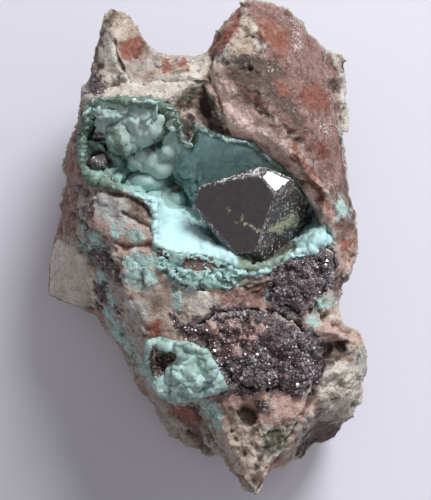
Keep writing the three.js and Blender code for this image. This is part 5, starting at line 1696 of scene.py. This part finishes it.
def finish_crystal(mesh, look, step_share):
    """Growth steps, and the marks for the olive film, the rough faces, the grey corner and the
    painted glints on etched bands and worn edges.
    """
    skin = Skin(mesh)
    normals = skin.normals()
    faces = normals @ CRYSTAL_AXES.T
    calm = ease_between(np.max(faces @ SMOOTH_FACES.T, axis=1), 0.97, 0.995)
    flat_share = skin.spread(1 - calm, 2)
    across = skin.points @ np.linalg.svd(CRYSTAL_AXES)[2].T
    terraces = swell(across, 2.0, 121) * 2.2 + swell(across, 0.8, 122) * 1.4
    terraces = np.floor(terraces * 3) / 3 * 0.5
    skin.points += normals * (terraces * look.step_height / MM * step_share * flat_share)[:, None]
    places = wandering(skin.points, 1.2, 0.25, 800)
    film = outline_depth(places, OLIVE_FILM)
    for line in FILM_STREAKS:
        film = np.maximum(film, 0.2 - line_gap(places, line))
    for spot in FILM_SPECKS:
        film = np.maximum(film, 0.24 - np.linalg.norm(places - np.array(spot), axis=1))
    facing = ease_between(normals[:, 2], 0, 0.3)
    away = REACH * (1 - facing)
    etched = np.maximum.reduce([outline_depth(places, ETCHED_BAND),
                                0.4 - line_gap(places, ETCHED_EDGE),
                                0.08 - line_gap(places, FACE_EDGE)])
    turn = 1 - np.linalg.norm(np.stack([skin.spread(axis, 6) for axis in normals.T], 1), axis=1)
    skin.mark(
        film=film * facing - away,
        rough_face=flat_share,
        grey_corner=outline_depth(places, GREY_CORNER) * facing - away,
        etched=etched * facing - away,
        edge=(1 - turn * 25).clip(0, 1))
    skin.write()


# ------------------------------------------------------------------ geometry nodes

GRAIN_DENSITY = 4.5e6  # most grains on a square metre of druse
GRAIN_SKEW = 3.2  # the higher, the fewer large grains
ROLL_SIDES = 14


class NodeShape:
    """A Geometry Nodes tree, put together one node at a time."""

    def __init__(self, name, inputs):
        self.group = bpy.data.node_groups.new(name, "GeometryNodeTree")
        face = self.group.interface
        face.new_socket("Geometry", in_out="INPUT", socket_type="NodeSocketGeometry")
        for label, (kind, default) in inputs.items():
            face.new_socket(label, in_out="INPUT", socket_type=kind).default_value = default
        face.new_socket("Geometry", in_out="OUTPUT", socket_type="NodeSocketGeometry")
        self.given = self.group.nodes.new("NodeGroupInput").outputs

    def add(self, kind, feeds=None, **settings):
        """Adds a node with its settings and what its sockets are fed, by name."""
        node = self.group.nodes.new(kind)
        for name, value in settings.items():
            setattr(node, name, value)
        for name, value in (feeds or {}).items():
            socket = next(s for i, s in enumerate(node.inputs)
                          if s.enabled and name in (s.name, i))
            if isinstance(value, bpy.types.NodeSocket):
                self.group.links.new(value, socket)
            else:
                socket.default_value = value
        return next(s for s in node.outputs if s.enabled)

    def finish(self, geometry, material, smooth):
        """Ends the tree in one plain mesh with its material."""
        real = self.add("GeometryNodeRealizeInstances", {"Geometry": geometry})
        shaded = self.add("GeometryNodeSetShadeSmooth", {"Geometry": real, "Shade Smooth": smooth})
        painted = self.add("GeometryNodeSetMaterial", {"Geometry": shaded, "Material": material})
        end = self.group.nodes.new("NodeGroupOutput")
        self.group.links.new(painted, end.inputs[0])
        return self.group


def grow(carrier, group, sizes):
    """Puts a Geometry Nodes tree on a carrier and sets its sizes."""
    modifier = carrier.modifiers.new(group.name, "NODES")
    modifier.node_group = group
    for item in group.interface.items_tree:
        if item.item_type == "SOCKET" and item.in_out == "INPUT" and item.name in sizes:
            modifier[item.identifier] = sizes[item.name]


def grain_tree(material):
    """Octahedral grains scattered where the ground is druse."""
    shape = NodeShape("druse_grains", {
        "Spacing": ("NodeSocketFloat", 0.0004), "Smallest": ("NodeSocketFloat", 0.0002),
        "Largest": ("NodeSocketFloat", 0.0005), "Seed": ("NodeSocketInt", 0)})
    given = shape.given
    depth = shape.add("GeometryNodeInputNamedAttribute", {"Name": "druse"}, data_type="FLOAT")
    share = shape.add("ShaderNodeMapRange", {
        "Value": depth, "From Min": -0.3, "From Max": 0.9, "To Min": 0.0, "To Max": 1.0})
    spots = shape.add("GeometryNodeDistributePointsOnFaces", {
        "Mesh": given["Geometry"], "Distance Min": given["Spacing"], "Density Max": GRAIN_DENSITY,
        "Density Factor": share, "Seed": given["Seed"]}, distribute_method="POISSON")
    chance = shape.add("FunctionNodeRandomValue", {"Min": 0.0, "Max": 1.0, "Seed": given["Seed"]},
                       data_type="FLOAT")
    skewed = shape.add("ShaderNodeMath", {0: chance, 1: GRAIN_SKEW}, operation="POWER")
    size = shape.add("ShaderNodeMapRange", {
        "Value": skewed, "From Min": 0.0, "From Max": 1.0, "To Min": given["Smallest"],
        "To Max": given["Largest"]})
    turn = shape.add("FunctionNodeRandomValue", {
        "Min": (0, 0, 0), "Max": (math.tau, math.tau, math.tau), "Seed": given["Seed"]},
        data_type="FLOAT_VECTOR")
    grain = shape.add("GeometryNodeMeshUVSphere", {"Segments": 4, "Rings": 2, "Radius": 1.0})
    grains = shape.add("GeometryNodeInstanceOnPoints", {
        "Points": spots, "Instance": grain, "Rotation": turn, "Scale": size})
    return shape.finish(grains, material, False)


def rim_tree(material):
    """A roll of crust along a path."""
    shape = NodeShape("rim_roll", {
        "Width": ("NodeSocketFloat", 0.0004), "Step": ("NodeSocketFloat", 0.00012)})
    given = shape.given
    path = shape.add("GeometryNodeMeshToCurve", {"Mesh": given["Geometry"]})
    dense = shape.add("GeometryNodeResampleCurve", {"Curve": path, "Length": given["Step"]},
                      mode="LENGTH")
    ring = shape.add("GeometryNodeCurvePrimitiveCircle", {
        "Resolution": ROLL_SIDES, "Radius": given["Width"]})
    roll = shape.add("GeometryNodeCurveToMesh", {
        "Curve": dense, "Profile Curve": ring, "Fill Caps": True})
    return shape.finish(roll, material, True)


# ------------------------------------------------------------------ add-on

class SPECIMEN_PT_panel(bpy.types.Panel):
    """Lists the specimen's pieces and their settings."""
    bl_idname = "SPECIMEN_PT_panel"
    bl_label = "Specimen"
    bl_space_type = "VIEW_3D"
    bl_region_type = "UI"
    bl_category = "Specimen"

    def draw(self, context):
        layout = self.layout
        for piece_operator in PIECES:
            layout.operator(piece_operator.bl_idname)
        for settings in SETTINGS:
            box = layout.box()
            box.label(text=settings.__doc__)
            group = getattr(context.scene, SETTINGS[settings])
            for name in settings.__annotations__:
                box.prop(group, name)


PIECES = (
    SPECIMEN_OT_host_rock, SPECIMEN_OT_druse_crusts, SPECIMEN_OT_druse_grains,
    SPECIMEN_OT_vug_lining, SPECIMEN_OT_crust_net, SPECIMEN_OT_knob, SPECIMEN_OT_rim_crust,
    SPECIMEN_OT_cuprite_crystal, SPECIMEN_OT_small_cuprites, SPECIMEN_OT_stage,
)
SETTINGS = {
    RockSettings: "rock_settings",
    ChrysocollaSettings: "chrysocolla_settings",
    CupriteSettings: "cuprite_settings",
    StageSettings: "stage_settings",
}


def register():
    """Registers the settings, the operators and the panel."""
    for settings, name in SETTINGS.items():
        bpy.utils.register_class(settings)
        setattr(bpy.types.Scene, name, PointerProperty(type=settings))
    for made in (*PIECES, SPECIMEN_PT_panel):
        bpy.utils.register_class(made)


def unregister():
    """Takes them all away again."""
    for made in reversed((*PIECES, SPECIMEN_PT_panel)):
        bpy.utils.unregister_class(made)
    for settings, name in SETTINGS.items():
        delattr(bpy.types.Scene, name)
        bpy.utils.unregister_class(settings)


def main():
    """Registers the add-on and builds every piece in order."""
    register()
    for made in PIECES:
        group, name = made.bl_idname.split(".")
        getattr(getattr(bpy.ops, group), name)()


if __name__ == "__main__":
    main()
